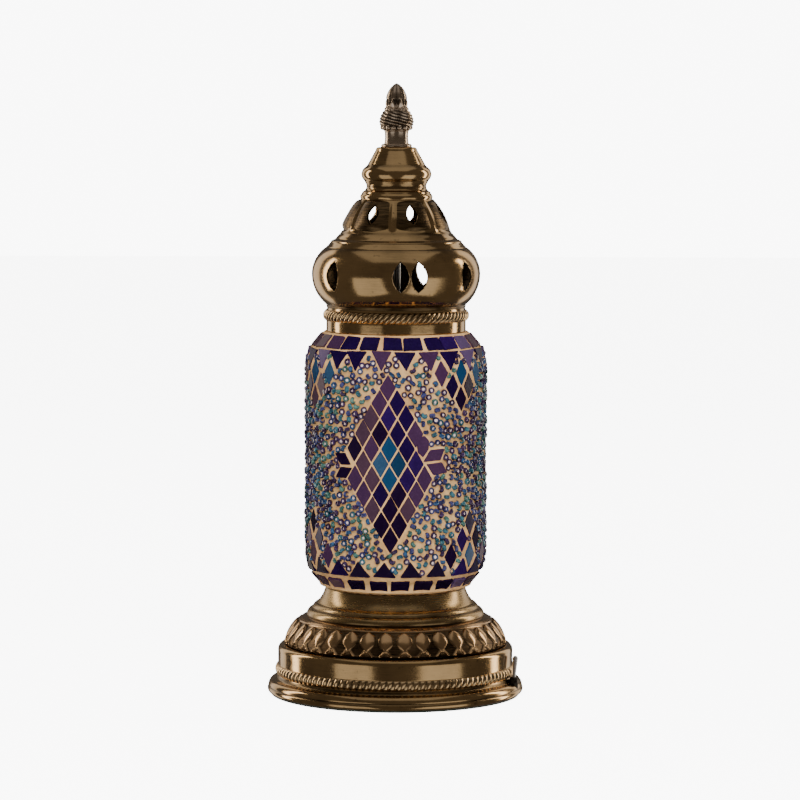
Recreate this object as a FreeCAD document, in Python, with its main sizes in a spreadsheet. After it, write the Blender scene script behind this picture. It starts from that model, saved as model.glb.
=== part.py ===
"""Mosaic glass table lamp, a parametric assembly. Millimetres, +Z up, origin at the middle of the base.

The front faces -Y, the cord inlet is at the rear (+Y) and the switch stands on the rim at the right.
Each sub-part is drawn from its own seat (z = 0) and lifted to its place in the stack.
"""
import FreeCAD, Part
import math
import os
import Sketcher

doc = FreeCAD.newDocument("MosaicLamp")

# ------------------------------------------------------------------ driving dimensions
DIMENSIONS = {
    # radii of the visible outline, from the floor up
    "rim_radius": 77.8, "band_radius": 71.4, "foot_rope_radius": 72.9, "bell_radius": 67.4,
    "neck_foot_radius": 53.8, "neck_radius": 42.5, "mosaic_radius": 54.3, "glass_radius": 52.1,
    "glass_neck_radius": 40.2, "collar_radius": 42.2, "dome_radius": 51.0, "bell_dome_radius": 32.6,
    "cap_radius": 21.1, "finial_radius": 10.4,
    # levels where one piece sits on the next
    "foot_level": 30.2, "bell_level": 47.8, "mouth_level": 65.2, "collar_level": 220.7,
    "glass_level": 225.5, "lower_dome_level": 235.0, "upper_dome_level": 271.1, "cap_level": 304.8,
    "finial_level": 331.5, "total_height": 370.0,
    # sheet metal, glass and mosaic
    "wall": 1.2, "glass_wall": 2.6, "tile_thickness": 1.8, "tile_proud": 0.35,
    # base
    "felt_thickness": 1.2, "weight_radius": 66.0, "weight_thickness": 8.0, "cover_radius": 65.9,
    "cover_level": 3.6, "standoff_circle": 50.0, "seat_level": 60.0, "gasket_thickness": 1.6,
    "floor_thickness": 3.0, "pipe_radius": 5.0, "pipe_bore": 3.9, "inlet_level": 18.5,
    "inlet_bore": 3.1, "inlet_face": 74.6,
    # lamp holder and bulb
    "holder_level": 77.0, "holder_radius": 19.5, "thread_radius": 13.4, "bulb_cap_radius": 13.05,
    "bulb_radius": 22.5, "bulb_level": 98.1,
    # dome hardware
    "rod_radius": 2.95, "rod_bottom": 219.5, "rod_top": 343.5,
    # switch
    "switch_circle": 75.0, "switch_angle": 73.0, "switch_seat": 9.2, "lever_pivot": 10.8,
    "lever_throw": 12.5,
}


class Size:
    """A length that carries its value and the spreadsheet expression behind it."""

    def __init__(self, value, text):
        self.value = value
        self.text = text

    def _join(self, other, sign):
        right = size(other)
        value = self.value + right.value if sign == "+" else self.value - right.value
        return Size(value, f"({self.text} {sign} {right.text})")

    def __add__(self, other):
        return self._join(other, "+")

    def __sub__(self, other):
        return self._join(other, "-")

    def __mul__(self, factor):
        return Size(self.value * factor, f"({self.text} * {factor:.6g})")

    def __neg__(self):
        return self * -1.0


def size(number):
    return number if isinstance(number, Size) else Size(float(number), f"{float(number):.6g}")


sheet = doc.addObject("Spreadsheet::Sheet", "Dims")
for row, (alias, number) in enumerate(DIMENSIONS.items(), 1):
    sheet.set(f"A{row}", alias)
    sheet.set(f"B{row}", str(number))
    sheet.setAlias(f"B{row}", alias)
doc.recompute()


def dim(alias):
    return Size(DIMENSIONS[alias], f"Dims.{alias}")


# ------------------------------------------------------------------ helpers
NODES = {}


def bind(item, **sizes):
    """Tie properties of a document object to spreadsheet expressions."""
    for name, length in sizes.items():
        setattr(item, name, size(length).value)
        item.setExpression(name, size(length).text)
    return item


def place(item, z=0.0, x=0.0, y=0.0, turn=0.0):
    """Put a document object at its seat, turned about the vertical by turn degrees."""
    x, y, z = size(x), size(y), size(z)
    spot = FreeCAD.Vector(x.value, y.value, z.value)
    item.Placement = FreeCAD.Placement(spot, FreeCAD.Rotation(FreeCAD.Vector(0, 0, 1), turn))
    for axis, length in zip("xyz", (x, y, z)):
        item.setExpression(f"Placement.Base.{axis}", length.text)
    return item


def node(item, name):
    item.Label = name
    NODES[name] = item
    return item


def via(radius, height):
    """A point that an arc passes through, between two corners of an outline."""
    return ("via", radius, height)


def origin_plane(body, role):
    return next(f for f in body.Origin.OriginFeatures if f.Role == role)


def new_sketch(body, role, name):
    sketch = body.newObject("Sketcher::SketchObject", name)
    sketch.AttachmentSupport = (origin_plane(body, role), [""])
    sketch.MapMode = "FlatFace"
    return sketch


def draw(sketch, outline):
    """Draw a closed outline of lines and arcs, its corners tied to the sketch's origin."""
    corners = []
    arcs_after = {}
    for point in outline:
        if point[0] == "via":
            arcs_after[len(corners) - 1] = (size(point[1]).value, size(point[2]).value)
        else:
            corners.append((size(point[0]), size(point[1])))
    ends = []
    for index, (x, y) in enumerate(corners):
        x2, y2 = corners[(index + 1) % len(corners)]
        start = FreeCAD.Vector(x.value, y.value, 0)
        end = FreeCAD.Vector(x2.value, y2.value, 0)
        if index in arcs_after:
            middle = FreeCAD.Vector(*arcs_after[index], 0)
            edge = Part.Arc(start, middle, end)
        else:
            edge = Part.LineSegment(start, end)
        geo = sketch.addGeometry(edge, False)
        flipped = sketch.getPoint(geo, 1).distanceToPoint(start) > 1e-4
        ends.append((geo, 2, 1) if flipped else (geo, 1, 2))
        if index in arcs_after:
            sketch.addConstraint(Sketcher.Constraint("Radius", geo, sketch.Geometry[geo].Radius))
    for index, (geo, _, last) in enumerate(ends):
        following, first, _ = ends[(index + 1) % len(ends)]
        sketch.addConstraint(Sketcher.Constraint("Coincident", geo, last, following, first))
    for (geo, first, _), (x, y) in zip(ends, corners):
        for kind, length, axis in (("DistanceX", x, -2), ("DistanceY", y, -1)):
            if abs(length.value) < 1e-9:
                sketch.addConstraint(Sketcher.Constraint("PointOnObject", geo, first, axis))
                continue
            tie = sketch.addConstraint(Sketcher.Constraint(kind, -1, 1, geo, first, length.value))
            sketch.setExpression(f"Constraints[{tie}]", length.text)


def turned(name, outline, z=0.0):
    """A piece turned about Z: its half section is a closed outline of (radius, height) points."""
    body = doc.addObject("PartDesign::Body", name)
    section = new_sketch(body, "XZ_Plane", f"{name}_section")
    draw(section, outline)
    spin = body.newObject("PartDesign::Revolution", f"{name}_turn")
    spin.Profile = section
    spin.ReferenceAxis = (section, ["V_Axis"])
    spin.Angle = 360.0
    return place(body, z)


def ring(name, outer, inner, thickness, z):
    """A flat washer, disc or tube with a square section."""
    return turned(name, [(inner, 0), (outer, 0), (outer, thickness), (inner, thickness)], z)


def cylinder(name, radius, height, x=0.0, y=0.0, z=0.0):
    rod = doc.addObject("Part::Cylinder", name)
    return place(bind(rod, Radius=radius, Height=height), z, x, y)


def block(name, length, width, height, x=0.0, y=0.0, z=0.0, turn=0.0):
    """A box centred on x, y, standing on z."""
    box = doc.addObject("Part::Box", name)
    bind(box, Length=length, Width=width, Height=height)
    half = FreeCAD.Vector(-size(length).value / 2, -size(width).value / 2, 0)
    place(box, z, x, y, turn)
    corner = box.Placement.Rotation.multVec(half)
    return place(box, z, size(x) + corner.x, size(y) + corner.y, turn)


def hexagon(name, across_flats, height, x=0.0, y=0.0, z=0.0):
    prism = doc.addObject("Part::Prism", name)
    prism.Polygon = 6
    corner = size(across_flats) * (0.5 / math.cos(math.pi / 6))
    return place(bind(prism, Circumradius=corner, Height=height), z, x, y)


def cut(name, base, *tools):
    whole = base
    for index, tool in enumerate(tools):
        step = doc.addObject("Part::Cut", f"{name}_cut{index}")
        step.Base = whole
        step.Tool = tool
        whole = step
    return whole


def fuse(name, *pieces):
    joined = doc.addObject("Part::MultiFuse", f"{name}_fuse")
    joined.Shapes = list(pieces)
    return joined


def group(name, pieces):
    """Identical pieces that share one node, each a solid of its own."""
    bundle = doc.addObject("Part::Compound", f"{name}_set")
    bundle.Links = list(pieces)
    return node(bundle, name)


def around(count, radius, start=0.0):
    """Points evenly spaced on a circle: (x, y, angle) from the front, to the right."""
    for index in range(count):
        angle = start + 360.0 * index / count
        turn = math.radians(angle)
        yield size(radius) * math.sin(turn), size(radius) * -math.cos(turn), angle


# ------------------------------------------------------------------ glass and mosaic
# The outer face of the glass: sloping shoulders, rounded corners and a straight wall between.
GLASS_BOTTOM = dim("mouth_level") - 2.0
SKIN_LOW = 3.6
SKIN_HIGH = 157.2


def glass_skin(offset):
    """Outer face of the glass, or of a layer that lies offset outside it, from the floor up."""
    wall = dim("glass_radius") + offset
    return [
        (wall - 11.5 - offset * 0.25, SKIN_LOW - offset * 0.66),
        (wall - 3.7 - offset * 0.25, 12.4 - offset * 0.66),
        via(wall.value - 1.1, 17.4 - offset * 0.3),
        (wall, 22.8),
        (wall, 134.8),
        via(wall.value - 0.8, 142.6 + offset * 0.2),
        (wall - 2.15 - offset * 0.23, 146.1 + offset * 0.64),
        (wall - 11.27 + offset * 0.295, SKIN_HIGH),
    ]


def mosaic_lamp_glass():
    thick = dim("glass_wall")
    neck = dim("glass_neck_radius")
    rim = dim("glass_level") - GLASS_BOTTOM
    inner = [(size(point[0]) - thick, point[1]) if point[0] != "via"
             else via(point[1] - thick.value, point[2]) for point in glass_skin(0.0)]
    outline = [(13.0, 0), (neck - 0.4, 0), *glass_skin(0.0), (neck, SKIN_HIGH + 1.0), (neck, rim),
               (neck - thick, rim), (neck - thick, SKIN_HIGH - 1.2), *reversed(inner[1:-1]),
               (neck - 1.6, dim("floor_thickness")), (13.0, dim("floor_thickness"))]
    node(turned("Glass", outline, GLASS_BOTTOM), "glass_cylinder")


def outward(azimuth, lean):
    """Right, up and outward directions of a tile at an azimuth, its face leaning back by lean."""
    turn = math.radians(azimuth)
    tip = math.radians(lean)
    flat = FreeCAD.Vector(math.sin(turn), -math.cos(turn), 0)
    right = FreeCAD.Vector(math.cos(turn), math.sin(turn), 0)
    rise = FreeCAD.Vector(0, 0, 1)
    normal = flat * math.cos(tip) + rise * math.sin(tip)
    up = rise * math.cos(tip) - flat * math.sin(tip)
    return right, up, normal


def tile(corners, azimuth, radius, height, lean=0.0):
    """A flat glass chip: a polygon in its own plane, thickened inwards."""
    right, up, normal = outward(azimuth, lean)
    flat = outward(azimuth, 0.0)[2]
    middle = flat * radius + FreeCAD.Vector(0, 0, height)
    points = [middle + right * x + up * y for x, y in corners]
    face = Part.Face(Part.makePolygon(points + points[:1]))
    return face.extrude(normal * -DIMENSIONS["tile_thickness"])


def tile_group(name, tiles):
    chips = doc.addObject("Part::Feature", name)
    chips.Shape = Part.makeCompound(tiles)
    chips.Placement = FreeCAD.Placement()
    return node(chips, name)


SHOULDER_COUNT = 23
LOWER_TRIANGLE_COUNT = 21
PANEL_COUNT = 3
PANEL_AZIMUTH = -4.0
# Azimuths of the first triangle in each ring, and the gaps between triangles that hold a cluster.
UPPER_TRIANGLE_START = 6.0
LOWER_TRIANGLE_START = 10.0
UPPER_CLUSTER_GAPS = (2, 10, 18)
LOWER_CLUSTER_GAPS = (2, 9, 16)
CLUSTER_ROWS = 3
DIAMOND_MIDDLE = 144.9
DIAMOND_ROWS = 5
ROW_PITCH = 9.06
RHOMB_PITCH = 10.66
GROUT_SHRINK = 0.87


def shoulder_tiles(radius, height, lean, top_half, bottom_half, tall):
    quad = [(-bottom_half, -tall / 2), (bottom_half, -tall / 2), (top_half, tall / 2), (-top_half, tall / 2)]
    return [tile(quad, azimuth, radius, height, lean) for _, _, azimuth in around(SHOULDER_COUNT, 1, -2.5)]


def triangle_tiles(count, start, radius, height, lean, half, tall):
    triangle = [(-half, tall / 2), (0, -tall / 2), (half, tall / 2)]
    if tall < 0:
        triangle.reverse()
    return [tile(triangle, azimuth, radius, height, lean) for _, _, azimuth in around(count, 1, start)]


def rhomb_tile(azimuth, height, radius, lean=0.0):
    half_width = RHOMB_PITCH / 2 * GROUT_SHRINK
    half_height = ROW_PITCH * GROUT_SHRINK
    rhomb = [(0, -half_height), (half_width, 0), (0, half_height), (-half_width, 0)]
    return tile(rhomb, azimuth, radius, height, lean)


def cluster_tiles(count, start, gaps, height, pitch, face):
    """Rhombs three, two and one to a row, the first row standing between a ring of triangles."""
    step = 360.0 / count
    rhombs = []
    for gap in gaps:
        middle = start + (gap + 0.5) * step
        for row in range(CLUSTER_ROWS):
            lean = math.copysign(5.0, -pitch) if row == 0 else 0.0
            radius = face - 0.3 if row == 0 else face
            for place_in_row in range(CLUSTER_ROWS - row):
                azimuth = middle + (place_in_row - (CLUSTER_ROWS - 1 - row) / 2) * step
                rhombs.append(rhomb_tile(azimuth, height + row * pitch, radius, lean))
    return rhombs


def mosaic():
    face = DIMENSIONS["mosaic_radius"] + DIMENSIONS["tile_proud"]
    step = math.degrees(RHOMB_PITCH / face)
    groups = {
        "shoulder_tiles_upper": shoulder_tiles(48.1, 216.1, 39.7, 5.1, 5.9, 9.4),
        "shoulder_tiles_lower": shoulder_tiles(47.6, 70.4, -41.6, 5.8, 4.9, 9.0),
        "triangle_tiles_upper": triangle_tiles(SHOULDER_COUNT, UPPER_TRIANGLE_START,
                                               53.85, 205.9, 12.9, 6.6, 11.4),
        "triangle_tiles_lower": triangle_tiles(LOWER_TRIANGLE_COUNT, LOWER_TRIANGLE_START,
                                               53.95, 81.9, -12.9, 6.7, -10.2),
        "cluster_tiles": cluster_tiles(SHOULDER_COUNT, UPPER_TRIANGLE_START, UPPER_CLUSTER_GAPS,
                                       198.4, -8.2, face)
        + cluster_tiles(LOWER_TRIANGLE_COUNT, LOWER_TRIANGLE_START, LOWER_CLUSTER_GAPS,
                        88.4, 9.8, face),
    }
    diamonds = []
    for panel in range(PANEL_COUNT):
        azimuth = PANEL_AZIMUTH + panel * 360.0 / PANEL_COUNT
        for row in range(-DIAMOND_ROWS, DIAMOND_ROWS + 1):
            count = DIAMOND_ROWS + 1 - abs(row)
            height = DIAMOND_MIDDLE + row * ROW_PITCH
            for place_in_row in range(count):
                shift = (place_in_row - (count - 1) / 2) * step
                diamonds.append(rhomb_tile(azimuth + shift, height, face))
    groups["diamond_tiles"] = diamonds
    chips = [tile_group(name, tiles) for name, tiles in groups.items()]

    depth = (dim("mosaic_radius") - dim("glass_radius")).value
    outline = [*glass_skin(0.0), *reversed(glass_skin(depth))]
    blank = turned("Grout", outline, GLASS_BOTTOM)
    pockets = doc.addObject("Part::Compound", "TilePockets")
    pockets.Links = chips
    node(cut("Grout", blank, pockets), "mosaic_grout")


# ------------------------------------------------------------------ dome
# Openings punched by hand, not quite evenly: seven round each dome, and one more beside the lower
# dome's front one.
LENS_AZIMUTHS = [3.3, 15.7, 56.0, 107.5, 160.0, 211.0, 261.0, 311.6]
EYE_AZIMUTHS = [20.0, 72.0, 118.5, 165.0, 214.0, 273.0, 331.0]


def dome():
    wall = dim("wall")
    collar = dim("collar_radius")
    seat = dim("glass_level") + 1.5 - dim("collar_level")
    top = dim("lower_dome_level") - dim("collar_level")
    node(turned("Collar", [
        (collar - wall, 0), (collar, 0), (collar, 6.6), via(collar.value + 1.75, 9.8),
        (collar - 0.2, 12.9), (collar - 0.4, top), (collar - 0.4 - wall, top),
        (collar - 0.4 - wall, seat + 1.4), (32.0, seat + 1.4), (32.0, seat),
        (collar - wall, seat)], dim("collar_level")), "dome_collar")
    node(ring("DomeGasket", 40.3, 37.5, 1.5, dim("glass_level")), "dome_gasket")

    waist = dim("dome_radius")
    high = dim("upper_dome_level") - dim("lower_dome_level")
    lower = turned("LowerDome", [
        (collar - 1.6, 0), (collar - 0.2, 0), (collar, 1.8), via(waist.value - 3.4, 8.0),
        (waist, 19.8), via(waist.value - 1.6, 27.8), (42.8, high), (38.0, high),
        (38.0, high - 1.2), (41.8, high - 1.2), via(waist.value - 2.7, 27.0),
        (waist - wall, 19.8), via(waist.value - 4.4, 8.7), (collar - wall, 2.2)],
        dim("lower_dome_level"))
    lens = [(5.1, 20.2), (4.6, 23.8), (2.4, 26.9), (0, 29.6), (-2.4, 26.9), (-4.6, 23.8),
            (-5.1, 20.2), (-4.6, 16.6), (-2.4, 13.5), (0, 10.8), (2.4, 13.5), (4.6, 16.6)]
    pierced(lower, lens, LENS_AZIMUTHS)
    node(lower, "lower_dome")

    bell = dim("bell_dome_radius")
    high = dim("cap_level") - dim("upper_dome_level")
    upper = turned("UpperDome", [
        (38.2, 0), (42.6, 0), (41.0, 1.6), (39.6, 3.2), (39.4, 4.0), (36.8, 5.2), (35.4, 7.0),
        (33.6, 8.8), (bell, 10.6), via(bell.value - 3.2, 19.2), (22.4, 29.0), (21.5, 29.2),
        via(21.9, 30.8), (20.9, 32.3), (20.4, high), (12.0, high), (12.0, high - 1.2),
        (19.4, high - 1.2), (20.4, 29.9), via(bell.value - 4.4, 19.0), (bell - wall, 11.0),
        (bell - wall, 9.0), (34.4, 6.4), (35.8, 4.2), (38.2, 3.0)], dim("upper_dome_level"))
    eye = [(3.7, 20.4), (2.5, 24.2), (0, 26.6), (-2.5, 24.2), (-3.7, 20.4), (-2.5, 16.6),
           (0, 14.2), (2.5, 16.6)]
    pierced(upper, eye, EYE_AZIMUTHS)
    node(upper, "upper_dome")

    cap = dim("cap_radius")
    high = dim("finial_level") - dim("cap_level")
    node(turned("ConeCap", [
        (12.0, 0), (20.2, 0), via(18.3, 1.8), (18.1, 4.0), (19.4, 6.6), via(cap.value, 11.0),
        (19.2, 14.4), (17.6, 15.8), (12.6, 24.8), via(12.0, 26.2), (10.6, high), (3.3, high),
        (3.3, high - 1.6), (10.4, high - 1.6), (16.2, 15.2), (17.8, 13.6), via(19.7, 11.0),
        (18.2, 7.2), (16.8, 4.4), (16.8, 1.4), (12.0, 1.4)], dim("cap_level")), "cone_cap")

    basket = dim("finial_radius")
    tip = dim("total_height") - dim("finial_level")
    node(turned("Finial", [
        (3.0, 0), (9.2, 0), via(9.3, 1.0), (7.4, 1.9), via(7.05, 5.4), (7.3, 9.6), via(9.4, 12.0),
        (basket, 15.4), via(9.2, 19.4), (5.8, 23.4), via(6.7, 26.0), (6.8, 27.2),
        via(5.5, 33.0), (1.4, 37.8), (0.0, tip), (0.0, 12.2), (3.0, 12.2)],
        dim("finial_level")), "finial")


def pierced(body, outline, azimuths):
    """Cut a hole of one outline through a turned shell at each azimuth, right of the front."""
    before = body_volume(body)
    for number, azimuth in enumerate(azimuths):
        sketch = new_sketch(body, "XZ_Plane", f"{body.Name}_opening{number}")
        sketch.AttachmentOffset = FreeCAD.Placement(
            FreeCAD.Vector(), FreeCAD.Rotation(FreeCAD.Vector(0, 1, 0), azimuth + 180.0))
        draw(sketch, outline)
        hole = body.newObject("PartDesign::Pocket", f"{body.Name}_hole{number}")
        hole.Profile = sketch
        hole.Type = "ThroughAll"
    body.Tip = hole
    if body_volume(body) >= before:
        raise RuntimeError(f"{body.Name}: the openings cut nothing")


def body_volume(body):
    doc.recompute()
    return body.Shape.Volume


def dome_hardware():
    seat = dim("glass_level") + 1.5
    bar = block("Bar", 73.0, 12.0, 2.0, z=seat - 2.0)
    ends = cylinder("BarEnds", 36.6, 2.0, z=seat - 2.0)
    trimmed = doc.addObject("Part::Common", "BarTrim")
    trimmed.Base = bar
    trimmed.Tool = ends
    node(cut("Bar", trimmed, cylinder("BarHole", 3.1, 4.0, z=seat - 3.0)), "suspension_bar")
    length = dim("rod_top") - dim("rod_bottom")
    node(cylinder("Rod", dim("rod_radius"), length, z=dim("rod_bottom")), "tie_rod")
    node(ring("RodWasher", 6.0, 3.1, 1.0, seat - 3.0), "tie_rod_washer")
    nut = hexagon("RodNut", 10.0, 3.0, z=seat - 6.0)
    node(cut("RodNut", nut, cylinder("RodNutBore", 3.0, 5.0, z=seat - 7.0)), "tie_rod_nut")


# ------------------------------------------------------------------ base shells
def base_shells():
    rim = dim("rim_radius")
    band = dim("band_radius")
    top = dim("foot_level") - dim("felt_thickness")
    foot = turned("Foot", [
        (66.4, 0), (rim - 1.2, 0), via(rim.value, 1.6), (rim - 0.3, 3.3), (rim - 0.9, 3.8),
        (rim - 0.5, 4.3), via(rim.value - 1.4, 6.6), (75.0, 7.8), (73.8, 7.9),
        via(72.0, 8.7), (band, 10.6), via(dim("foot_rope_radius").value, 13.8), (band, 17.0),
        (band, 25.0), via(70.4, 28.1), (67.6, top), (60.0, top), (60.0, top - 1.4),
        (67.4, top - 1.4), (band - 1.3, 24.6), (band - 1.3, 10.0), (72.4, 7.2), (74.8, 6.8),
        (rim - 1.2, 4.4), (rim - 1.2, 1.4), (66.4, 1.4)], dim("felt_thickness"))
    face = dim("inlet_face")
    boss = doc.addObject("Part::Cylinder", "InletBoss")
    hole = doc.addObject("Part::Cylinder", "InletHole")
    for item, radius, start, length in ((boss, 7.0, 70.0, face - 70.0), (hole, 4.4, 60.0, 30.0)):
        bind(item, Radius=radius, Height=length)
        place(item, dim("inlet_level"), 0.0, start)
        item.Placement.Rotation = FreeCAD.Rotation(FreeCAD.Vector(1, 0, 0), -90)
    x, y, _ = next(around(1, dim("switch_circle"), DIMENSIONS["switch_angle"]))
    pad = cylinder("SwitchPad", 4.2, dim("switch_seat") - 8.0, x, y, 8.0)
    room = cylinder("SwitchPadHole", 2.7, 8.0, x, y, 4.0)
    spot_face = cylinder("SwitchSpotFace", 3.95, 3.2, x, y, dim("switch_seat"))
    tail = block("InletClear", 30.0, 20.0, 30.0, 0.0, 60.0, 4.0)
    whole = cut("Foot", fuse("Foot", foot, pad, cut("Inlet", boss, tail)), hole, room, spot_face)
    node(whole, "base_foot")

    bell = dim("bell_radius")
    high = dim("bell_level") - dim("foot_level")
    node(turned("Bell", [
        (60.0, 0), (bell, 0), via(64.9, 8.0), (56.6, 16.7), (53.6, high), (46.0, high),
        (46.0, high - 1.2), (53.0, high - 1.2), (55.6, 15.6), via(63.7, 7.5), (66.0, 1.2),
        (60.0, 1.2)], dim("foot_level")), "base_bell")

    neck = dim("neck_radius")
    foot_radius = dim("neck_foot_radius")
    ledge = dim("seat_level") - dim("bell_level")
    high = dim("mouth_level") - dim("bell_level")
    node(turned("Neck", [
        (46.2, 0), (foot_radius, 0), via(53.5, 2.5), (51.4, 4.4), (50.8, 4.8), (50.4, 5.2),
        via(49.6, 6.6), (47.6, 7.8), via(44.5, 12.0), (neck, high), (41.2, high), (41.2, ledge),
        (37.5, ledge), (37.5, ledge - 1.6), (43.2, ledge - 1.6), (46.2, 6.8), (49.4, 3.8),
        (49.4, 1.4), (46.2, 1.4)], dim("bell_level")), "base_neck")


# ------------------------------------------------------------------ base hardware
def clamp_stack():
    """The threaded pipe and everything it pulls together, from the weight up to the glass floor."""
    pipe = dim("pipe_radius")
    gasket = dim("gasket_thickness")
    under = dim("foot_level") - dim("wall") - 0.2 - dim("weight_thickness")
    floor = GLASS_BOTTOM + dim("floor_thickness")
    clearance = pipe + 0.2

    disc = ring("Weight", dim("weight_radius"), clearance, dim("weight_thickness"), under)
    taps = [cylinder(f"WeightTap{i}", 2.0, 6.0, x, y, under - 1.0)
            for i, (x, y, _) in enumerate(around(3, dim("standoff_circle"), 30.0))]
    taps.append(cylinder("EarthTap", 2.0, 6.0, 22.0, 34.0, under - 1.0))
    node(cut("Weight", disc, *taps), "base_weight")

    node(ring("Pipe", pipe, dim("pipe_bore"), 74.0, 12.5), "lamp_pipe")
    node(ring("Seat", 40.9, clearance, gasket, dim("seat_level")), "seat_plate")
    group("glass_gaskets", [ring("GasketLow", 36.0, 8.0, gasket, dim("seat_level") + gasket),
                            ring("GasketHigh", 36.0, 8.0, gasket, floor)])
    node(ring("Clamp", 34.0, clearance, gasket, floor + gasket), "clamp_plate")
    group("pipe_washers", [ring("WasherLow", 10.0, clearance, 1.5, under - 1.5),
                           ring("WasherHigh", 10.0, clearance, 1.5, floor + gasket + gasket)])
    nuts = []
    for name, z in (("NutLow", under - 6.0), ("NutHigh", floor + gasket + gasket + 1.5)):
        nut = hexagon(name, 15.0, 4.5, z=z)
        nuts.append(cut(name, nut, cylinder(f"{name}Bore", pipe, 8.0, z=z - 1.0)))
    group("pipe_nuts", nuts)
    return under


def bottom_closure(under):
    """Pillars, bottom cover, its screws and the felt ring that the lamp stands on."""
    cover_top = dim("cover_level") + 1.2
    cover = cylinder("Cover", dim("cover_radius"), 1.2, z=dim("cover_level"))
    holes, pillars, screws = [], [], []
    for i, (x, y, _) in enumerate(around(3, dim("standoff_circle"), 30.0)):
        holes.append(cylinder(f"CoverHole{i}", 2.2, 4.0, x, y, dim("cover_level") - 1.0))
        shank = hexagon(f"Pillar{i}", 7.0, under - cover_top, x, y, cover_top)
        stud = cylinder(f"PillarStud{i}", 1.95, 4.4, x, y, under - 0.4)
        bore = cylinder(f"PillarBore{i}", 2.05, 8.0, x, y, cover_top - 1.0)
        pillars.append(cut(f"Pillar{i}", fuse(f"Pillar{i}", shank, stud), bore))
        head = cylinder(f"ScrewHead{i}", 3.6, 1.9, x, y, dim("cover_level") - 1.9)
        thread = cylinder(f"ScrewThread{i}", 1.95, 8.0, x, y, dim("cover_level") - 0.4)
        slot = block(f"ScrewSlot{i}", 8.0, 0.9, 0.9, x, y, dim("cover_level") - 1.9 - 0.1)
        screws.append(cut(f"Screw{i}", fuse(f"Screw{i}", head, thread), slot))
    node(cut("Cover", cover, *holes), "bottom_cover")
    group("standoffs", pillars)
    group("cover_screws", screws)
    node(ring("Felt", 75.6, 67.4, dim("felt_thickness"), 0.0), "felt_ring")


def cord_inlet():
    """Rubber grommet in the rear boss, bored for a round flex; its axis lies along Y."""
    bore = dim("inlet_bore")
    reach = dim("inlet_face") - 70.0
    grommet = turned("Grommet", [
        (bore, -1.8), (5.6, -1.8), (5.6, -0.2), (4.3, -0.2), (4.3, reach + 0.1), (6.0, reach + 0.1),
        via(5.7, reach.value + 1.2), (4.6, reach + 1.6), (bore, reach + 1.6)])
    place(grommet, dim("inlet_level"), 0.0, 70.0)
    grommet.Placement.Rotation = FreeCAD.Rotation(FreeCAD.Vector(1, 0, 0), -90)
    node(grommet, "cord_grommet")


BLOCK_X, BLOCK_Y = -24.0, 6.0


def connections(under):
    """Terminal block and earth screw under the weight."""
    body = block("Terminals", 12.0, 24.0, 10.0, BLOCK_X, BLOCK_Y, under - 10.0)
    screws = []
    pockets = []
    for i, shift in enumerate((-8.0, 0.0, 8.0)):
        y = BLOCK_Y + shift
        pockets.append(cylinder(f"TerminalWell{i}", 1.9, 5.0, BLOCK_X, y, under - 11.0))
        screws.append(cylinder(f"TerminalScrew{i}", 1.7, 4.0, BLOCK_X, y, under - 8.6))
        pockets.append(cylinder(f"TerminalScrewRoom{i}", 1.75, 4.4, BLOCK_X, y, under - 8.8))
        pockets.append(block(f"TerminalWay{i}", 5.0, 3.2, 3.2, BLOCK_X + 4.0, y, under - 4.2))
    node(cut("Terminals", body, *pockets), "terminal_block")
    group("terminal_screws", screws)
    head = cylinder("EarthHead", 3.8, 2.4, 22.0, 34.0, under - 3.4)
    washer = cylinder("EarthLug", 4.4, 1.0, 22.0, 34.0, under - 1.0)
    thread = cylinder("EarthThread", 1.95, 4.6, 22.0, 34.0, under - 0.4)
    node(fuse("Earth", head, washer, thread), "earth_screw")


# ------------------------------------------------------------------ lamp holder and bulb
def lamp_holder():
    outer = dim("holder_radius")
    pipe = dim("pipe_radius")
    thread = dim("thread_radius")
    node(turned("HolderCap", [
        (pipe, 0), (8.5, 0), (8.5, 6.0), via(15.6, 8.6), (outer, 15.0), (outer, 20.0),
        (outer - 1.8, 20.0), (outer - 1.8, 15.4), via(14.6, 10.4), (8.0, 9.0), (pipe, 9.0)],
        dim("holder_level")), "holder_cap")
    node(turned("Insert", [
        (2.0, 0), (12.5, 0), (12.5, 5.2), (17.4, 5.2), (17.4, 6.6), (2.0, 6.6)],
        dim("holder_level") + 10.6), "holder_insert")
    node(turned("HolderShell", [
        (thread - 5.0, 0), (thread + 0.6, 0), (thread + 0.6, 22.0), (thread, 22.0), (thread, 0.6),
        (thread - 5.0, 0.6)], dim("holder_level") + 17.2), "holder_shell")
    node(turned("HolderBody", [
        (outer - 3.6, 0), (outer, 0), (outer, 22.0), via(outer.value - 0.4, 23.4),
        (outer - 1.6, 24.0), (thread + 1.2, 24.0), (thread + 1.2, 22.6), (outer - 3.6, 22.6)],
        dim("holder_level") + 20.1), "holder_body")
    strip = block("ContactStrip", 7.0, 4.0, 0.5, z=dim("holder_level") + 17.2)
    stem = cylinder("ContactStem", 1.6, 2.0, z=dim("holder_level") + 15.4)
    node(fuse("Contact", strip, stem), "holder_contact")


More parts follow.
